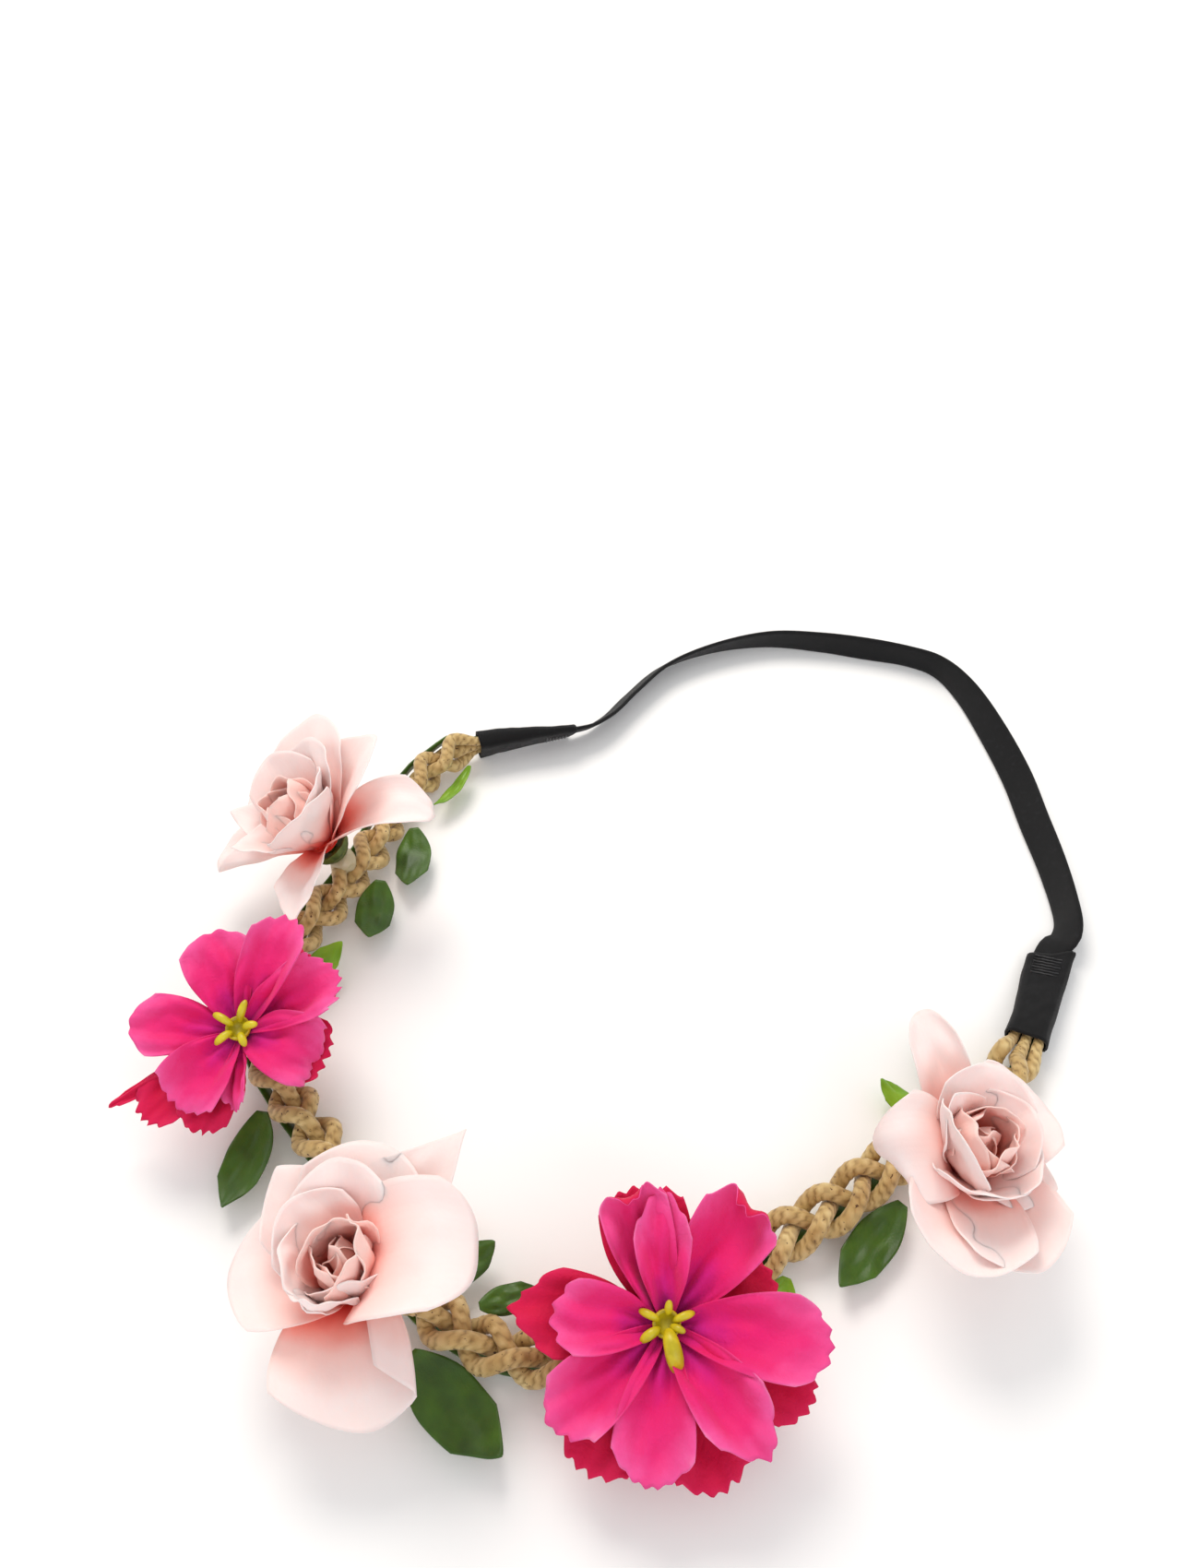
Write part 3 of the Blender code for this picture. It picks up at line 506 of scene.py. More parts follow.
def blade_outline(shape, across, share):
    """Where a point of the flat cut lies: its share of the length and its half width."""
    depth, power = shape["tip"]
    cut = depth * abs(across) ** power
    if shape["teeth"]:
        count, tooth = shape["teeth"]
        phase = (across + 1) / 2 * count + shape["seed"]
        jag = abs(phase % 1 - 0.5) * 2
        cut += tooth / shape["length"] * jag * (0.6 + 0.8 * noise.noise((phase, shape["seed"], 3)))
    share = share * (1 - cut)
    grow = math.sin(math.pi / 2 * min(1.0, share / shape["widest"])) ** 0.9
    half = shape["width"] / 2 * mix(shape["root"], 1.0, grow)
    past = max(0.0, (share - shape["widest"]) / (1 - shape["widest"]))
    return share, half * (1 - shape["narrow"] * past * past)


def blade_spine(shape, share):
    """Point and axes of the blade's middle line at a share of its length."""
    place = Vector()
    step = share / SPINE_STEPS
    for i in range(SPINE_STEPS + 1):
        s = step * i
        rise = bezier(shape["rise"], s)
        if shape["curl"]:
            start, angle = shape["curl"]
            rise += angle * max(0.0, (s - start) / (1 - start)) ** 1.3
        rise = math.radians(rise)
        swing = math.radians(shape["swing"]) * s
        ahead = Vector((math.cos(rise) * math.cos(swing), math.cos(rise) * math.sin(swing),
                        math.sin(rise)))
        if i:
            place += ahead * step * shape["length"]
    side = Vector((-math.sin(swing), math.cos(swing), 0.0))
    turn = Matrix.Rotation(math.radians(shape["twist"]) * share, 3, ahead)
    side = turn @ side
    return place, ahead, side, ahead.cross(side)


def blade_point(shape, across, share, spines):
    """A point of the shaped blade in its own frame: X outwards, Y aside and Z up."""
    share, half = blade_outline(shape, across, share)
    key = round(share * SPINE_PLACES)
    if key not in spines:
        spines[key] = blade_spine(shape, key / SPINE_PLACES)
    place, ahead, side, up = spines[key]
    place = place + ahead * (share - key / SPINE_PLACES) * shape["length"]
    cup = math.radians(bezier(shape["cup"], share)) / 2
    aside, lift = 0.0, 0.0
    for i in range(SECTION_STEPS):
        t = across * (i + 0.5) / SECTION_STEPS
        turn = cup * t
        if shape["lip"]:
            lip_side, start, angle = shape["lip"]
            turn += math.copysign(1, lip_side) * math.radians(angle) * smoothstep(
                (t * lip_side - start) / 0.3)
        aside += math.cos(turn) * half * across / SECTION_STEPS
        lift += math.sin(turn) * half * across / SECTION_STEPS
    if shape["ruffle"]:
        height, waves, phase = shape["ruffle"]
        wave = math.sin(2 * math.pi * (waves * across / 2 + phase) + 3 * share)
        lift += height * wave * share ** 2 * (0.35 + 0.65 * abs(across))
    if shape["pleat"]:
        depth, count = shape["pleat"]
        lift += depth * math.cos(math.pi * count * across) * math.sin(math.pi * share) ** 0.7
    point = place + side * aside + up * lift
    if shape["crumple"]:
        cell = Vector((across * CRUMPLES[0] + shape["seed"] * 7, share * CRUMPLES[1],
                       shape["seed"]))
        point += up * shape["crumple"] * noise.noise(cell) * min(1.0, 3 * share)
    return point


def add_blade(bm, place, **values):
    """Cuts a flat grid to a petal's or leaf's outline and bends it to shape."""
    shape = {**BLADE, **values}
    made = bmesh.ops.create_grid(bm, x_segments=shape["columns"], y_segments=shape["rows"],
                                 size=1.0, calc_uvs=True)
    spines = {}
    for vert in made["verts"]:
        across, share = vert.co.x, (vert.co.y + 1) / 2
        vert.co = place @ blade_point(shape, across, share, spines)
    faces = {face for vert in made["verts"] for face in vert.link_faces}
    bmesh.ops.reverse_faces(bm, faces=list(faces))


def thicken(piece, thickness, reverse=False, offset=0.0):
    solid = piece.modifiers.new("Cloth thickness", "SOLIDIFY")
    solid.thickness = thickness
    solid.offset = offset
    solid.material_offset = 1 if reverse else 0


leaf_material = satin_leaf_material("deep green satin", "#234205", "#47700C", "#93A83A")
bright_material = satin_leaf_material("spring green satin", "#5E920A", "#8CB41A", "#C2D85A")

ribbon_bm = bmesh.new()
ribbon_places = []
for i in range(RIBBON_STEPS + 1):
    distance = -RIBBON_TUCK + (BRAID_LENGTH + 2 * RIBBON_TUCK) * i / RIBBON_STEPS
    loose = smoothstep(min(distance, BRAID_LENGTH - distance) / LEAD_LENGTH)
    ripple = RIBBON_RIPPLE * noise.noise((distance * 160, 0.0, 5.0)) * loose
    ribbon_places.append(band_place(SLEEVE_LENGTH + distance,
                                    ripple - mix(PRESSED_RIBBON_DEPTH, RIBBON_DEPTH, loose)))
sweep(ribbon_bm, [(side * RIBBON_WIDTH / 2, face * RIBBON_THICKNESS / 2)
                  for side, face in ((-1, -1), (1, -1), (1, 1), (-1, 1))], ribbon_places)
ribbon_bm.loops.layers.uv.new("UVMap")
finish_piece(add_piece("leaf_ribbon_core", ribbon_bm), leaf_material,
             replaced=["leaf_ribbon"])

for number, (distance, around, heading, roll, length, width, bow, fold) in enumerate(LEAVES, 1):
    point, along, across, face = loop.at(SLEEVE_LENGTH + distance)
    turn, lead = math.radians(around), math.radians(heading)
    outward = across * math.cos(turn) + face * math.sin(turn)
    clearance = LEAF_SLIP + LEAF_ROOT_SHARE * width * abs(math.cos(lead))
    root = (point + across * (BRAID_SIZE[0] + clearance) * math.cos(turn)
            + face * (BRAID_SIZE[1] + RIBBON_THICKNESS / 2 + clearance) * math.sin(turn))
    ahead = (along * math.cos(lead) + outward * math.sin(lead)).normalized()
    aside = along.cross(outward).cross(ahead).normalized()
    spin = Matrix.Rotation(math.radians(roll), 3, ahead)
    place = Matrix((ahead, spin @ aside, spin @ ahead.cross(aside))).transposed().to_4x4()
    place.translation = root - ahead * LEAF_TUCK
    bm = bmesh.new()
    add_blade(bm, place, length=length + LEAF_EXTRA, width=width, root=0.25, widest=0.42,
              narrow=0.3, rise=(bow, 0, -bow), cup=(fold, fold * 1.2, fold), tip=(0.3, 1.5),
              crumple=0.5 * MM, seed=number * 1.7, columns=20, rows=26)
    piece = add_piece(f"satin_leaf_{number:02d}", bm)
    thicken(piece, LEAF_THICKNESS)
    finish_piece(piece, bright_material if number in BRIGHT_LEAVES else leaf_material,
                 replaced=[f"leaf_{number:02d}"])


# ---------------------------------------------------------------------- folded sleeves
# A strip of black twill folded round each end of the braid and sewn flat.  Its strap end
# is cut on the slant, and its folds pucker where the stitches pull them.

SLEEVE_CLOTH = 0.42 * MM
SLEEVE_HALF_WIDTH = 4.4 * MM
SLEEVE_STATIONS = 34
SLEEVE_FLATNESS = 0.34
SLEEVE_PUCKER = 0.18 * MM
# Sewn cloth lies a little flatter than the room it is given.
EXIT_PRESSED = 0.8
MOUTH_PRESSED = 0.86
CLOTH_STEP_AROUND = 0.7
# The cut's slant across the strap's end, and the notch in it.
CUT_SLANT = 2.2 * MM
NOTCH_SLOPE = 1.4 * MM
NOTCH_PLACE = 0.2
NOTCH_SET_BACK = 0.6 * MM
STITCH_PASSES = 7
STITCHES_PER_PASS = 4
# Shares of the sleeve's length and width that the stitching covers.
STITCHED_LENGTH = (0.07, 0.27)
STITCHED_WIDTH = (-0.6, 0.6)
STITCH_DIP = 0.22 * MM
THREAD_LIFT = 0.15 * MM
THREAD_RADIUS = 0.17 * MM
THREAD_RESOLUTION = 2


def black_cloth_material(name, colour, roughness, thread, count):
    """Black woven or knitted cloth: fine ribs with a painted highlight on their raised threads, and
    a little lighter lint.
    """
    material, tree, shader = new_material(name, Specular_IOR_Level=0.25, Sheen_Weight=0.12,
                                          Sheen_Roughness=0.4, Roughness=roughness)
    cloth, place = coordinates(tree)
    ribs = math_of(tree, "MULTIPLY", waves_of(tree, cloth, "X", count[0], 0.6),
                   waves_of(tree, cloth, "Y", count[1], 0.6))
    lint = range_of(tree, noise_of(tree, place, 900.0, 3.0), 0.55, 0.8, 0.5)
    # Painted highlight: the raised ribs are mixed towards the lighter thread colour, as is the real
    # lint.
    rib_highlight_and_lint = math_of(tree, "MULTIPLY_ADD", ribs, 0.5, lint)
    colour_and_bump(tree, shader, mix_of(tree, rib_highlight_and_lint, linear(colour), linear(thread)), ribs,
                    0.5, 0.12 * MM)
    return material


def flat_outline(half_width, half_thickness, arc_steps=5, face_steps=7):
    """Flat section with round edges, as (across, through) points in order."""
    outline = []
    centre = half_width - half_thickness
    for side in (1, -1):
        for i in range(arc_steps + 1):
            angle = math.radians(-90 + 180 * i / arc_steps)
            outline.append((side * (centre + half_thickness * math.cos(angle)),
                            side * half_thickness * math.sin(angle)))
        for i in range(1, face_steps):
            outline.append((side * centre * (1 - 2 * i / face_steps), side * half_thickness))
    return outline


def lay_uv(bm, cloth):
    """Cloth coordinates in millimetres, looked up for each vertex."""
    layer = bm.loops.layers.uv.new("UVMap")
    for face in bm.faces:
        for corner in face.loops:
            corner[layer].uv = cloth[corner.vert]


def sleeve_half_thickness(share):
    return mix(SLEEVE_EXIT_SIZE[1] * EXIT_PRESSED, SLEEVE_MOUTH_SIZE[1] * MOUTH_PRESSED,
               smoothstep(share))


twill = black_cloth_material("black cotton twill", "#060607", 0.75, "#1C1C20", (4.0, 4.0))
thread_material, _, _ = new_material("black polyester thread", Base_Color=linear("#17171A"),
                                     Roughness=0.45, Sheen_Weight=0.2)
# Where each sleeve's strap end and its mouth are on the loop, and how much its cut slants.
SLEEVES = {"right": (0.0, SLEEVE_LENGTH, 1.0),
           "left": (2 * SLEEVE_LENGTH + BRAID_LENGTH, SLEEVE_LENGTH + BRAID_LENGTH, 0.25)}
for side_name, (exit_at, mouth_at, slanting) in SLEEVES.items():
    bm = bmesh.new()
    cloth = {}
    rings = []
    for i in range(SLEEVE_STATIONS + 1):
        share = i / SLEEVE_STATIONS
        ring = []
        for k, (across, through) in enumerate(flat_outline(1.0, SLEEVE_FLATNESS)):
            notch = NOTCH_SLOPE * abs(across - NOTCH_PLACE) - NOTCH_SET_BACK
            slant = (1 - share) * (CUT_SLANT * across + notch) * slanting
            flare = (1 + 0.06 * math.sin(5.2 * share + 0.8)
                     + 0.05 * noise.noise((share * 4, across, 2)))
            pucker = SLEEVE_PUCKER * noise.noise((share * 9, across * 2.3, 7.0 + exit_at * 40))
            distance = mix(exit_at, mouth_at, share) - math.copysign(1, mouth_at - exit_at) * slant
            vert = bm.verts.new(loop.beside(
                distance, across * SLEEVE_HALF_WIDTH * flare,
                through / SLEEVE_FLATNESS * sleeve_half_thickness(share) + pucker))
            cloth[vert] = (share * SLEEVE_LENGTH / MM, k * CLOTH_STEP_AROUND)
            ring.append(vert)
        rings.append([bm.edges.new((ring[k], ring[(k + 1) % len(ring)])) for k in range(len(ring))])
    for near, far in zip(rings, rings[1:]):
        bmesh.ops.bridge_loops(bm, edges=near + far)
    bmesh.ops.recalc_face_normals(bm, faces=bm.faces)
    lay_uv(bm, cloth)
    piece = add_piece(f"twill_sleeve_{side_name}", bm)
    thicken(piece, SLEEVE_CLOTH, offset=-1.0)
    finish_piece(piece, twill, replaced=[f"sleeve_{side_name}"])

    # The thread runs back and forth over the face, up and down through the cloth.
    stitch_points = []
    for i in range(STITCH_PASSES):
        share = mix(*STITCHED_LENGTH, i / (STITCH_PASSES - 1))
        lift = sleeve_half_thickness(share) + THREAD_LIFT
        for end in ((-1, 1) if i % 2 == 0 else (1, -1)):
            for k in range(STITCHES_PER_PASS):
                across = end * mix(*STITCHED_WIDTH, k / (STITCHES_PER_PASS - 1)) * SLEEVE_HALF_WIDTH
                stitch_points.append(loop.beside(mix(exit_at, mouth_at, share), across,
                                                 lift - STITCH_DIP * (k % 2)))
    stitching = place_mesh(tube_mesh(f"stitching_{side_name}", stitch_points,
                                     [THREAD_RADIUS] * len(stitch_points), THREAD_RESOLUTION))
    finish_piece(stitching, thread_material,
                 replaced=[f"sleeve_{side_name}_stitches"])


# ----------------------------------------------------------------------------- elastic
# One flat black knitted elastic, 7 mm wide, sewn into both sleeves.  It twists as it
# lies, and its middle moves back when the crown is stretched over a head.

STRAP_TUCK = 6 * MM
STRAP_STEP = 1.2 * MM
knit = black_cloth_material("black knitted elastic", "#050506", 0.7, "#202024", (1.6, 5.0))
strap_start = 2 * SLEEVE_LENGTH + BRAID_LENGTH - STRAP_TUCK
strap_length = loop.length + STRAP_TUCK - strap_start
strap_count = round(strap_length / STRAP_STEP)
strap_places = [band_place(strap_start + strap_length * i / strap_count)
                for i in range(strap_count + 1)]
strap_bm = bmesh.new()
sweep(strap_bm, flat_outline(*STRAP_SIZE, arc_steps=4, face_steps=8), strap_places)
cloth = {}
inverses = [place.inverted() for place in strap_places]
for vert in strap_bm.verts:
    nearest = min(range(len(strap_places)),
                  key=lambda i: (strap_places[i].translation - vert.co).length_squared)
    local = inverses[nearest] @ vert.co
    cloth[vert] = ((nearest * STRAP_STEP + local.x) / MM, local.y / MM)
lay_uv(strap_bm, cloth)
strap = add_piece("knitted_elastic", strap_bm)
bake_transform(strap)
finish_piece(strap, knit, body=None,
             replaced=["strap_left_run", "strap_back", "strap_right_run"])


# ------------------------------------------------------------------ pins, calyxes, glue
# Each flower is threaded on a moulded green pin through a cup-shaped calyx, and a drop of
# clear hot glue holds the calyx to the braid.

PIN_FOOT = 0.2 * MM
FLOWERS = ("rose_right", "cosmos_front", "rose_front", "cosmos_left", "rose_left")


def read_stem(name):
    """The flower's frame from its pin: Z up the pin, X to the camera's right in plan."""
    points = [vertex.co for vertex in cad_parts[f"{name}_pin"].data.vertices]
    middle = sum(points, Vector()) / len(points)
    ends = max(points, key=lambda p: (p - middle).length)
    axis = (ends - middle).normalized()
    for _ in range(12):
        axis = sum(((p - middle) * (p - middle).dot(axis) for p in points), Vector()).normalized()
    if axis.z < 0:
        axis = -axis
    low = min((p - middle).dot(axis) for p in points)
    across = (camera_right - axis * camera_right.dot(axis)).normalized()
    stem = Matrix((across, axis.cross(across), axis)).transposed().to_4x4()
    stem.translation = middle + axis * (low - PIN_FOOT)
    return stem


stems = {name: read_stem(name) for name in FLOWERS}


def moulded_material(name, low, high, roughness):
    """Injection-moulded polyethylene, a little uneven in tone."""
    material, tree, shader = new_material(name, Roughness=roughness, Specular_IOR_Level=0.45)
    place = add_node(tree, "ShaderNodeTexCoord").outputs["Object"]
    cloud = noise_of(tree, place, 420.0, 3.0)
    colour_and_bump(tree, shader, ramp_of(tree, cloud, [(0.35, low), (0.68, high)]), cloud,
                    0.25, 0.1 * MM)
    return material


calyx_material = moulded_material("moulded green polyethylene", "#2C3A0C", "#5C6A20", 0.5)
pin_material = moulded_material("moulded green pin", "#3A4416", "#5A6428", 0.5)
glue_material, _, _ = new_material("set hot-melt glue", Base_Color=linear("#D9CDA8"),
                                   Roughness=0.25, Transmission_Weight=0.3, IOR=1.48)
GLUE_RADIUS = 3.4 * MM
GLUE_REACH = 5.0 * MM
GLUE_SEAT = 0.25 * MM
GLUE_LUMPS = 0.14
for number, name in enumerate(FLOWERS):
    for part, material in (("calyx", calyx_material), ("pin", pin_material)):
        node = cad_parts[f"{name}_{part}"]
        node.data.materials.clear()
        node.data.materials.append(material)
    # The drop runs down from the calyx towards the nearest point of the braid's middle.
    seat = stems[name].translation
    nearest = min((loop.at(SLEEVE_LENGTH + i * MM)[0] for i in range(round(BRAID_LENGTH / MM))),
                  key=lambda point: (point - seat).length)
    ahead = (nearest - seat).normalized()
    bm = bmesh.new()
    bead = bmesh.ops.create_icosphere(bm, subdivisions=4, radius=1.0)["verts"]
    for vert in bead:
        lump = 1 + GLUE_LUMPS * noise.noise(vert.co * 1.7 + Vector((number * 5.0, 0.0, 0.0)))
        flat = stems[name].to_3x3() @ Vector((vert.co.x * GLUE_RADIUS,
                                              vert.co.y * GLUE_RADIUS, 0.0))
        level = (1 - vert.co.z) / 2
        vert.co = (seat + flat * lump * mix(0.92, 0.8, level)
                   + ahead * (GLUE_SEAT + (GLUE_REACH - GLUE_SEAT) * level * lump))
    bmesh.ops.recalc_face_normals(bm, faces=bm.faces)
    finish_piece(add_piece(f"{name}_glue_drop", bm), glue_material,
                 replaced=[f"{name}_glue"])


# --------------------------------------------------------------------------- silk roses
# Three blush roses.  Each is stamped from thin stiffened polyester cloth in layers of five
# or six petals, heat-curled at the edges, threaded under a tightly rolled bud.

PETAL_THICKNESS = 0.2 * MM
HUB_RADIUS = 3.2 * MM
LAYER_HEIGHTS = (3.95 * MM, 4.85 * MM, 5.75 * MM)
BUD_BASE = 6.3 * MM


def blush_material(name, stops):
    """Dyed polyester petal cloth: deeper coral towards each petal's root, partly a dyed
    gradient and partly a painted glow of light passing between the petals in the depths of
    the flower, pale at the rims, with a fine matte weave and faint pressed veins."""
    material, tree, shader = new_material(name, Roughness=0.75, Specular_IOR_Level=0.2,
                                          Sheen_Weight=0.12, Subsurface_Weight=0.6,
                                          Subsurface_Scale=0.35 * MM)
    shader.inputs["Subsurface Radius"].default_value = (1.0, 0.7, 0.65)
    cloth, place = coordinates(tree)
    axes = add_node(tree, "ShaderNodeSeparateXYZ", None, {"Vector": cloth})
    cloud = noise_of(tree, place, 120.0, 3.0)
    # Coral towards the root: partly a dyed gradient, partly a painted glow where light passes
    # between the petals.
    petal_tone = ramp_of(tree, math_of(tree, "MULTIPLY_ADD", cloud, 0.22, axes.outputs["Y"]), stops)
    veins = waves_of(tree, cloth, "X", 5.0, 3.0, 2.0, 0.6)
    height = math_of(tree, "MULTIPLY_ADD", veins, 0.5, noise_of(tree, place, 2400.0, 1.0))
    colour_and_bump(tree, shader, petal_tone, height, 0.22, 0.08 * MM)
    return material


# The deep red at the root is partly dyed and partly a painted glow of light passing between the
# petals.
rose_material = blush_material(
    "blush polyester petal cloth",
    [(0.18, "#DC3A28"), (0.36, "#F6A092"), (0.56, "#FBD2CB"), (0.9, "#FCE6E3")])
# A deeper coral copy for the heart of each rose: a painted glow for the light that passes through
# the petals into the shaded middle, over the dyed gradient.
glowing_heart_material = blush_material(
    "coral polyester petal cloth",
    [(0.26, "#E0301C"), (0.48, "#FA8A78"), (0.74, "#FFBCB0"), (1.0, "#FFD6CE")])


def petal(turn, length=None, width=None, **changes):
    """A petal's turn round the stem in degrees, its length and width in millimetres, and
    what else differs from its layer's own petal."""
    sizes = {"length": length, "width": width}
    return turn, {**{key: size * MM for key, size in sizes.items() if size}, **changes}


ROSE_OUTER = dict(length=21 * MM, width=22 * MM, root=0.4, widest=0.62, narrow=0.1,
                  rise=(40, 20, 0), cup=(80, 70, 50), tip=(0.24, 2.2), crumple=0.9 * MM,
                  columns=26, rows=24)
ROSE_MIDDLE = dict(length=19 * MM, width=17 * MM, root=0.4, widest=0.6, narrow=0.15,
                   rise=(55, 60, 50), cup=(110, 90, 60), tip=(0.26, 2.0), crumple=0.9 * MM,
                   columns=22, rows=22)
ROSE_INNER = dict(length=15.5 * MM, width=12.5 * MM, root=0.5, widest=0.6, narrow=0.2,
                  rise=(55, 88, 104), cup=(140, 110, 60), tip=(0.24, 1.9), crumple=1.0 * MM,
                  ruffle=(0.7 * MM, 2, 0.2), columns=18, rows=20)
ROSE_BUD = dict(length=12.5 * MM, width=10.5 * MM, root=0.6, widest=0.6, narrow=0.35,
                rise=(66, 98, 122), cup=(170, 170, 120), tip=(0.26, 1.7), crumple=0.8 * MM,
                ruffle=(0.5 * MM, 2, 0.6), columns=18, rows=16)
ROSES = {
    "rose_right": {
        "outer": [
            petal(108, 26, 11.5, rise=(50, 28, 5), cup=(120, 100, 130), twist=-30, widest=0.4,
                  narrow=0.3, tip=(0.2, 2.6)),
            petal(38, 17.5, 20, rise=(52, 35, -5), tip=(0.2, 3.0)),
            petal(338, 15.5, 14, rise=(35, 20, 10), tip=(0.35, 1.3)),
            petal(290, 22, 22, rise=(25, 20, 30), cup=(70, 80, 90)),
            petal(255, 23, 24, rise=(30, 20, 30), cup=(70, 80, 90)),
            petal(186, 25, 19, rise=(80, 40, -60), cup=(30, -30, -60), root=0.5, tip=(0.42, 1.2),
                  curl=(0.6, -90), twist=-30),
        ],
        "middle": [
            petal(75, 18, 18, rise=(60, 60, 40)),
            petal(22, 16, 16, rise=(60, 65, 55)),
            petal(315, 16, 18, rise=(50, 50, 70), tip=(0.3, 1.6)),
            petal(262, 17, 18, rise=(45, 55, 75)),
            petal(200, 19, 17, rise=(60, 78, 80), cup=(80, 60, 40)),
            petal(135, 17, 14, rise=(65, 75, 60), tip=(0.36, 1.4)),
        ],
        "inner": [petal(355, 16), petal(60, 17, swing=15),
                  petal(128, 15, tip=(0.34, 1.4)), petal(196, 17),
                  petal(250, 15, swing=-20), petal(300, 17, twist=18)],
        "bud": [petal(30, 13), petal(150), petal(262, 14, twist=20)],
    },
    "rose_front": {
        "outer": [
            petal(46, 30, 18, rise=(48, 30, 14), tip=(0.46, 1.15), narrow=0.4, widest=0.45),
            petal(179, 19.5, 21, rise=(42, 8, -5), tip=(0.3, 1.9)),
            petal(80, 22, 22, rise=(55, 42, 15)),
            petal(130, 22, 18, rise=(50, 35, 20), tip=(0.36, 1.3)),
            petal(284, 21.5, 30, rise=(16, -4, -14), cup=(50, 60, 40), root=0.55, widest=0.55,
                  lip=(1, 0.42, 160), tip=(0.4, 1.7)),
        ],
        "middle": [
            petal(0, 28.5, 23, rise=(88, 44, -40), cup=(60, 70, 70), root=0.55, widest=0.55,
                  tip=(0.24, 2.6)),
            petal(96, 20, 18, rise=(55, 58, 35), crumple=1.4 * MM),
            petal(142, 18, 17, rise=(55, 66, 55), crumple=1.4 * MM),
            petal(196, 17, 16, rise=(50, 70, 75), crumple=1.4 * MM),
            petal(238, 18, 14, rise=(48, 66, 80), swing=25, tip=(0.4, 1.3), crumple=1.4 * MM),
            petal(285, 15, 14, rise=(50, 78, 95), tip=(0.3, 1.5)),
        ],
        "inner": [petal(20, 17), petal(88, 16, swing=18),
                  petal(150, 17, twist=-15), petal(215, 15),
                  petal(262, 14, swing=-25, tip=(0.34, 1.4)),
                  petal(318, 16, twist=20)],
        "bud": [petal(0, 13), petal(118), petal(240, 14, twist=-20)],
    },
    "rose_left": {
        "outer": [
            petal(76, 26.5, 21, rise=(52, 42, 22), tip=(0.3, 1.7)),
            petal(32, 25, 20, rise=(48, 34, 8), tip=(0.34, 1.5)),
            petal(358, 27, 15, rise=(30, 5, -35), cup=(110, 100, 90), curl=(0.7, -40),
                  narrow=0.35),
            petal(268, 22, 12, rise=(25, 10, 0), cup=(110, 90, 60), tip=(0.4, 1.4)),
            petal(188, 22, 15, rise=(30, 20, 10), lip=(1, 0.3, 120), tip=(0.26, 2.0)),
            petal(126, 21, 17, rise=(45, 35, 20), tip=(0.3, 1.7)),
        ],
        "middle": [
            petal(60, 21, 18, rise=(55, 60, 45)),
            petal(105, 20, 17, rise=(60, 62, 50)),
            petal(165, 19, 13, rise=(50, 45, 30), tip=(0.42, 1.2)),
            petal(212, 18, 13, rise=(50, 50, 40), tip=(0.42, 1.2)),
            petal(310, 19, 18, rise=(55, 60, 60)),
            petal(355, 19, 16, rise=(60, 65, 60)),
        ],
        "inner": [petal(10, 17), petal(75, 17, swing=15),
                  petal(135, 15, twist=-18), petal(190, 16),
                  petal(240, 15, swing=-20), petal(300, 17, twist=15)],
        "bud": [petal(0, 13), petal(120), petal(235, 14)],
    },
}


def petal_place(stem, turn, radius, height):
    return (stem @ Matrix.Rotation(math.radians(turn), 4, "Z")
            @ Matrix.Translation((radius, 0.0, height)))


def add_hub(bm, stem, height):
    """The punched middle of a stamped layer."""
    made = bmesh.ops.create_circle(bm, cap_ends=True, segments=20, radius=HUB_RADIUS)
    bmesh.ops.transform(bm, matrix=stem @ Matrix.Translation((0, 0, height)), verts=made["verts"])


def petal_layer(name, stem, petals, style, radius, height, seed):
    bm = bmesh.new()
    bm.loops.layers.uv.new("UVMap")
    add_hub(bm, stem, height)
    for number, (turn, changes) in enumerate(petals):
        lifted = changes.pop("lifted", 0.0)
        add_blade(bm, petal_place(stem, turn, radius, height + lifted),
                  **{**style, "seed": seed + number * 2.3, **changes})
    return add_piece(name, bm)


for number, (name, layers) in enumerate(ROSES.items()):
    stem = stems[name]
    styles = {"outer": (ROSE_OUTER, 1.8 * MM, LAYER_HEIGHTS[0]),
              "middle": (ROSE_MIDDLE, 1.9 * MM, LAYER_HEIGHTS[1]),
              "inner": (ROSE_INNER, 1.8 * MM, LAYER_HEIGHTS[2]),
              "bud": (ROSE_BUD, 1.2 * MM, BUD_BASE)}
    for layer, petals in layers.items():
        style, radius, height = styles[layer]
        piece = petal_layer(f"{name}_{layer}_cloth", stem, petals, style, radius, height,
                            seed=number * 11.0 + len(layer))
        thicken(piece, PETAL_THICKNESS)
        node = f"{name}_bud" if layer == "bud" else f"{name}_{layer}_petals"
        # The inner layers and the bud take the deeper coral copy, a painted glow in the shaded
        # heart.
        finish_piece(piece, glowing_heart_material if layer in ("inner", "bud") else rose_material,
                     replaced=[node])


# ------------------------------------------------------------------------- silk cosmos
# Two hot pink cosmos.  Seven channelled petals with pinked ends are stamped in each layer,
# printed pink above and dyed crimson below, over a back layer of plain crimson.

COSMOS_HEIGHTS = (3.95 * MM, 4.85 * MM)


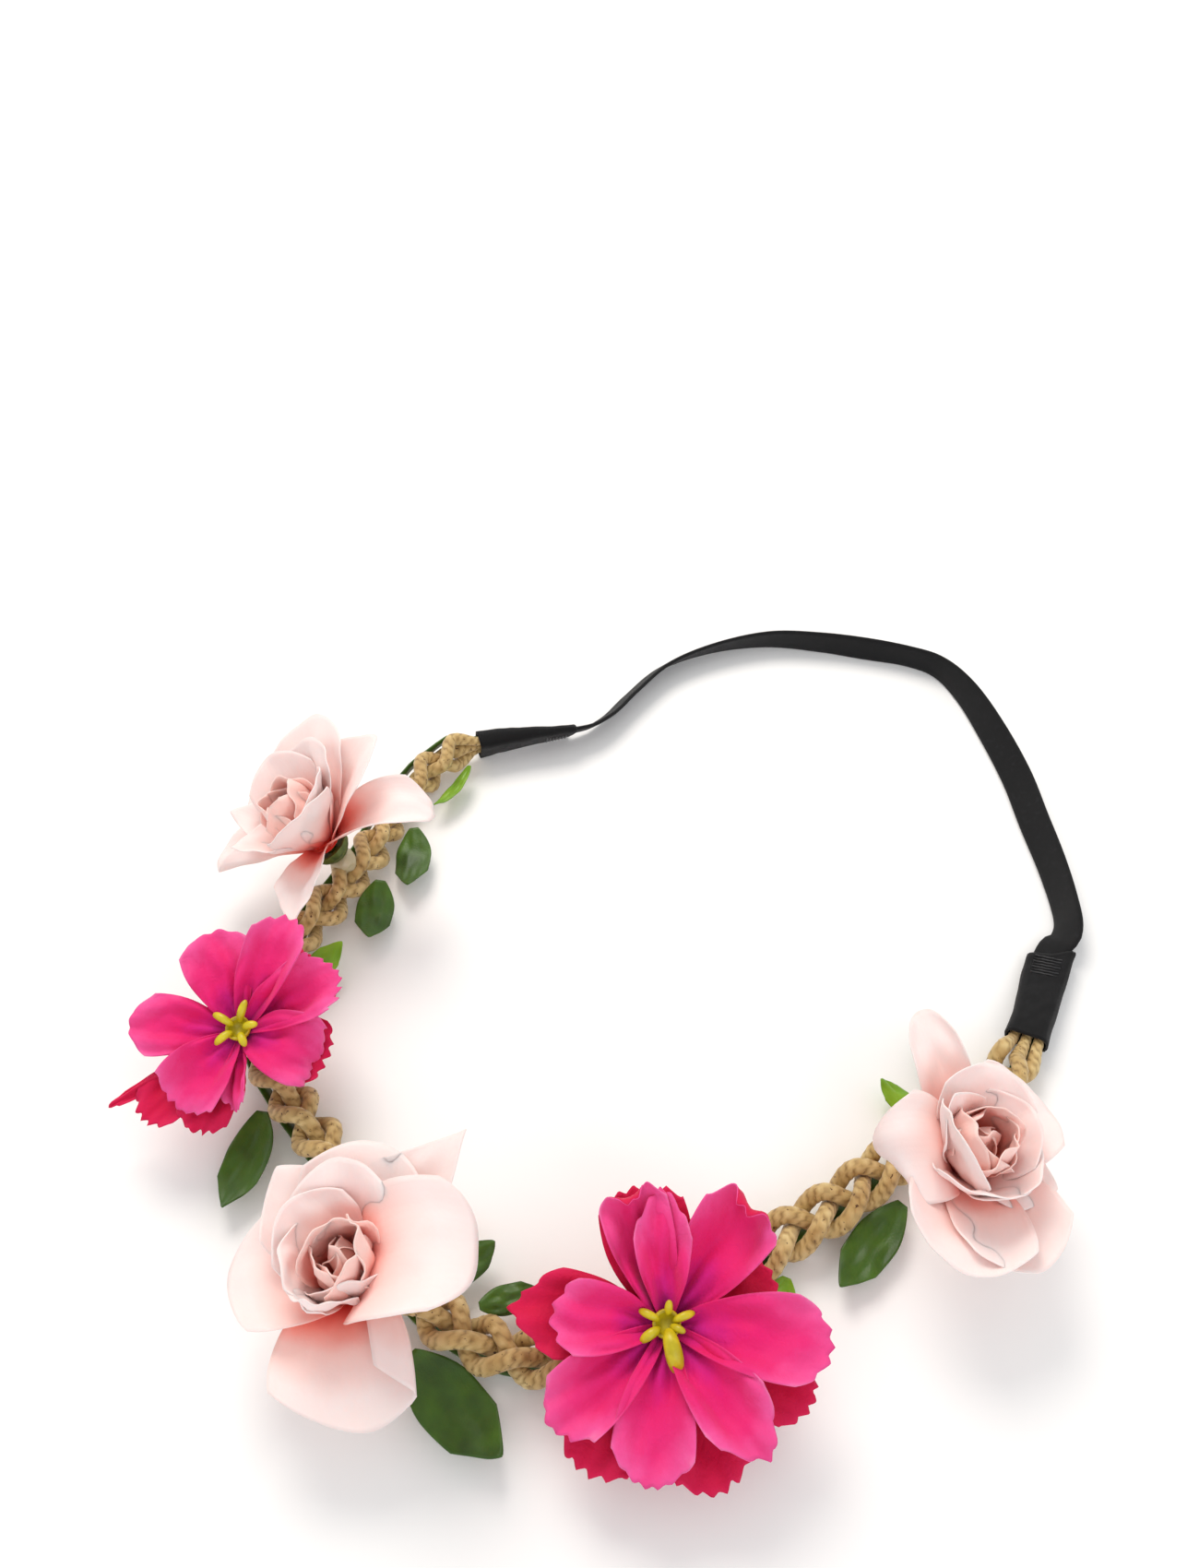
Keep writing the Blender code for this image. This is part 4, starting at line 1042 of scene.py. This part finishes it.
def cosmos_material(name, stops):
    """Printed polyester petal cloth: purple dyed throat, hot pink body and lighter
    rims where the print thins, with a visible open weave."""
    material, tree, shader = new_material(name, Roughness=0.7, Specular_IOR_Level=0.2,
                                          Sheen_Weight=0.1, Subsurface_Weight=0.12,
                                          Subsurface_Scale=1.0 * MM)
    shader.inputs["Subsurface Radius"].default_value = (1.0, 0.3, 0.5)
    cloth, place = coordinates(tree)
    axes = add_node(tree, "ShaderNodeSeparateXYZ", None, {"Vector": cloth})
    side = math_of(tree, "ABSOLUTE", math_of(tree, "SUBTRACT", axes.outputs["X"], 0.5))
    rim = math_of(tree, "MULTIPLY_ADD", side, 0.5, axes.outputs["Y"])
    shift = math_of(tree, "MULTIPLY_ADD", noise_of(tree, place, 260.0, 4.0), 0.35, rim)
    petal_tone = ramp_of(tree, range_of(tree, shift, 0.2, 1.5), stops)
    creases = noise_of(tree, place, 420.0, 2.0, 1.2)
    height = math_of(tree, "MULTIPLY_ADD", creases, 2.5, noise_of(tree, place, 1900.0, 2.0))
    colour_and_bump(tree, shader, petal_tone, height, 0.5, 0.15 * MM)
    return material


pink_material = cosmos_material(
    "hot pink polyester petal cloth",
    [(0.04, "#A80E7C"), (0.17, "#CC1280"), (0.38, "#E4186E"), (0.6, "#E62C78"),
     (0.86, "#F0559A"), (1.0, "#F680B4")])
crimson_material = cosmos_material(
    "crimson polyester petal cloth",
    [(0.05, "#8A0438"), (0.3, "#C00440"), (0.65, "#D00844"), (1.0, "#DC1E58")])

COSMOS_FRONT = dict(length=21 * MM, width=13 * MM, root=0.24, widest=0.66, narrow=0.16,
                    rise=(30, 14, -6), cup=(150, 110, 60), tip=(0.2, 2.2), teeth=(5, 1.5 * MM),
                    pleat=(0.4 * MM, 3), crumple=1.3 * MM, ruffle=(0.6 * MM, 3, 0.3),
                    columns=36, rows=28)
COSMOS_BACK = dict(COSMOS_FRONT, rise=(8, 2, -8), cup=(50, 40, 30), tip=(0.14, 2.4),
                   teeth=(5, 1.8 * MM), crumple=1.4 * MM)
COSMOS = {
    "cosmos_front": {
        "front": [
            petal(352, 25.5, 14.5, rise=(28, 8, -4)),
            petal(50, 28, 14.5, rise=(28, 14, 10), curl=(0.66, 150), crumple=2.6 * MM,
                  tip=(0.26, 1.8)),
            petal(106, 24, 12.5, rise=(35, 22, 10), curl=(0.72, 120), crumple=2.4 * MM),
            petal(91, 21, 10.5, rise=(45, 30, 0), lifted=0.5 * MM, crumple=1.8 * MM,
                  tip=(0.34, 1.5)),
            petal(177, 18, 12.5, rise=(35, 15, 0), teeth=(4, 1.8 * MM)),
            petal(219, 22.5, 13, rise=(25, 8, -12)),
            petal(262, 22, 13.5, rise=(22, 4, -4), cup=(150, 90, 30), widest=0.7,
                  teeth=(6, 0.9 * MM)),
            petal(309, 24, 14, rise=(28, 6, -12), cup=(160, 130, 90), tip=(0.34, 1.4)),
        ],
        "back": [
            petal(174, 24.5, 14, rise=(10, 6, 4), tip=(0.3, 1.4)),
            petal(236, 23.5, 14), petal(288, 23.5),
            petal(334, 24, 12), petal(20, 18),
            petal(56, 20, 11), petal(102, 21, 15, rise=(20, 22, 10)),
        ],
    },
    "cosmos_left": {
        "front": [
            petal(111, 18.5, 13.5, cup=(120, 80, 30), teeth=(4, 0.6 * MM), widest=0.7),
            petal(66, 22, 13, cup=(140, 130, 110), rise=(35, 20, 5)),
            petal(29, 20, 13.5, teeth=(7, 1.8 * MM)),
            petal(340, 17, 14, rise=(40, 15, -45), cup=(110, 80, 40), teeth=(7, 2.0 * MM),
                  curl=(0.75, -60)),
            petal(276, 14, 6, rise=(20, 10, 0), twist=50),
            petal(237, 16, 14, rise=(25, 5, -15), teeth=(6, 1.2 * MM)),
            petal(179, 18.5, 12, rise=(20, 10, 5), cup=(100, 60, 30), teeth=(4, 0.5 * MM),
                  widest=0.7),
        ],
        "back": [
            petal(225, 21.5, 10), petal(252, 18, 10),
            petal(212, 25, 2.6, teeth=(2, 2.0 * MM), cup=(20, 20, 0)),
            petal(345, 16), petal(40, 18),
            petal(70, 19, 10), petal(110, 16, 10),
        ],
    },
}
for number, (name, layers) in enumerate(COSMOS.items()):
    for layer, petals in layers.items():
        front = layer == "front"
        piece = petal_layer(f"{name}_{layer}_cloth", stems[name], petals,
                            COSMOS_FRONT if front else COSMOS_BACK, 1.6 * MM,
                            COSMOS_HEIGHTS[1 if front else 0], seed=number * 13.0 + len(layer))
        thicken(piece, PETAL_THICKNESS, reverse=front)
        finish_piece(piece, pink_material if front else crimson_material,
                     replaced=[f"{name}_{layer}_petals"],
                     reverse=crimson_material if front else None)


# ----------------------------------------------------------------------------- stamens
# A soft yellow moulding pushed on to the pin: a small cup with blunt fingers round it,
# some of which bend over.

stamen_material = moulded_material("yellow moulded polyethylene", "#B8A80A", "#DCCB22", 0.35)
STAMEN_BASE = 5.6 * MM
FINGER_BASE = STAMEN_BASE + 1.6 * MM
# Radius and height of each ring of the cup, in millimetres, up its outside and down inside.
CUP_RINGS = [(1.6, 0.0), (2.1, 0.6), (2.3, 1.9), (2.0, 2.2), (1.6, 1.5), (1.0, 0.5)]
# Each finger's turn, radius, length, lean and thickness, in degrees and millimetres.
STAMENS = {
    "cosmos_front": [(283, 1.2, 6.2, 95, 3.6), (20, 1.3, 3.6, 80, 1.7), (155, 1.5, 3.4, 80, 1.7),
                     (80, 1.6, 3.2, 30, 1.7), (212, 1.5, 3.6, 75, 2.1), (335, 0.9, 3.0, 50, 1.6)],
    "cosmos_left": [(152, 1.2, 4.2, 78, 1.9), (72, 1.3, 4.6, 50, 2.0), (222, 1.4, 3.6, 75, 2.0),
                    (5, 1.3, 3.4, 50, 2.0), (300, 1.4, 3.2, 60, 2.0)],
}
for name, fingers in STAMENS.items():
    stem = stems[name]
    bm = bmesh.new()
    ring = None
    for radius, height in CUP_RINGS:
        made = bmesh.ops.create_circle(bm, segments=24, radius=radius * MM)["verts"]
        bmesh.ops.transform(bm, matrix=stem @ Matrix.Translation((0, 0, STAMEN_BASE + height * MM)),
                            verts=made)
        edges = list({edge for vert in made for edge in vert.link_edges})
        if ring:
            bmesh.ops.bridge_loops(bm, edges=ring + edges)
        else:
            bmesh.ops.edgeloop_fill(bm, edges=edges)
        ring = edges
    bmesh.ops.edgeloop_fill(bm, edges=ring)
    for turn, radius, length, lean, thick in fingers:
        made = bmesh.ops.create_uvsphere(bm, u_segments=14, v_segments=12, radius=1.0)["verts"]
        place = (stem @ Matrix.Rotation(math.radians(turn), 4, "Z")
                 @ Matrix.Translation((radius * MM, 0, FINGER_BASE)))
        for vert in made:
            share = (vert.co.z + 1) / 2
            drop = mix(0.62, 1.0, share ** 1.5) * thick / 2 * MM
            bend = math.radians(lean) * share
            run = share * length * MM
            centre = Vector((math.sin(bend) * run, 0.0, math.cos(bend) * run))
            across = Vector((math.cos(bend), 0.0, -math.sin(bend)))
            vert.co = place @ (centre + across * vert.co.x * drop
                               + Vector((0, 1, 0)) * vert.co.y * drop)
    bmesh.ops.recalc_face_normals(bm, faces=bm.faces)
    finish_piece(add_piece(f"{name}_stamen_moulding", bm), stamen_material,
                 replaced=[f"{name}_stamens"])


# ---------------------------------------------------------------------- floor and lights
# A white table in a daylight studio: one broad soft light from the upper left, a weaker
# fill from the right, and an even white room.

floor_bm = bmesh.new()
bmesh.ops.create_grid(floor_bm, x_segments=1, y_segments=1, size=2.0)
floor = add_piece("white_table", floor_bm)
floor_material, _, _ = new_material("white laminate table", Roughness=0.6,
                                    Base_Color=linear("#FDFDFC"), Specular_IOR_Level=0.2)
floor.data.materials.append(floor_material)


def add_area_light(name, position, target, size, power, colour):
    data = bpy.data.lights.new(name, "AREA")
    data.shape = "DISK"
    data.size = size
    data.energy = power
    data.color = linear(colour)[:3]
    lamp = bpy.data.objects.new(name, data)
    lamp.location = position
    lamp.rotation_mode = "QUATERNION"
    lamp.rotation_quaternion = (Vector(target) - Vector(position)).to_track_quat("-Z", "Y")
    bpy.context.collection.objects.link(lamp)


add_area_light("Key", (-0.45, 0.35, 0.75), (0, 0, 0), 0.5, 4.4, "#FFF8F0")
add_area_light("Fill", (0.6, -0.4, 0.5), (0, 0, 0), 0.6, 1.2, "#F4F6FF")
world = bpy.data.worlds.new("Studio")
bpy.context.scene.world = world
world.use_nodes = True
world.node_tree.nodes["Background"].inputs["Color"].default_value = linear("#FFFFFF")
world.node_tree.nodes["Background"].inputs["Strength"].default_value = 0.76
bpy.context.scene.view_settings.view_transform = "Standard"
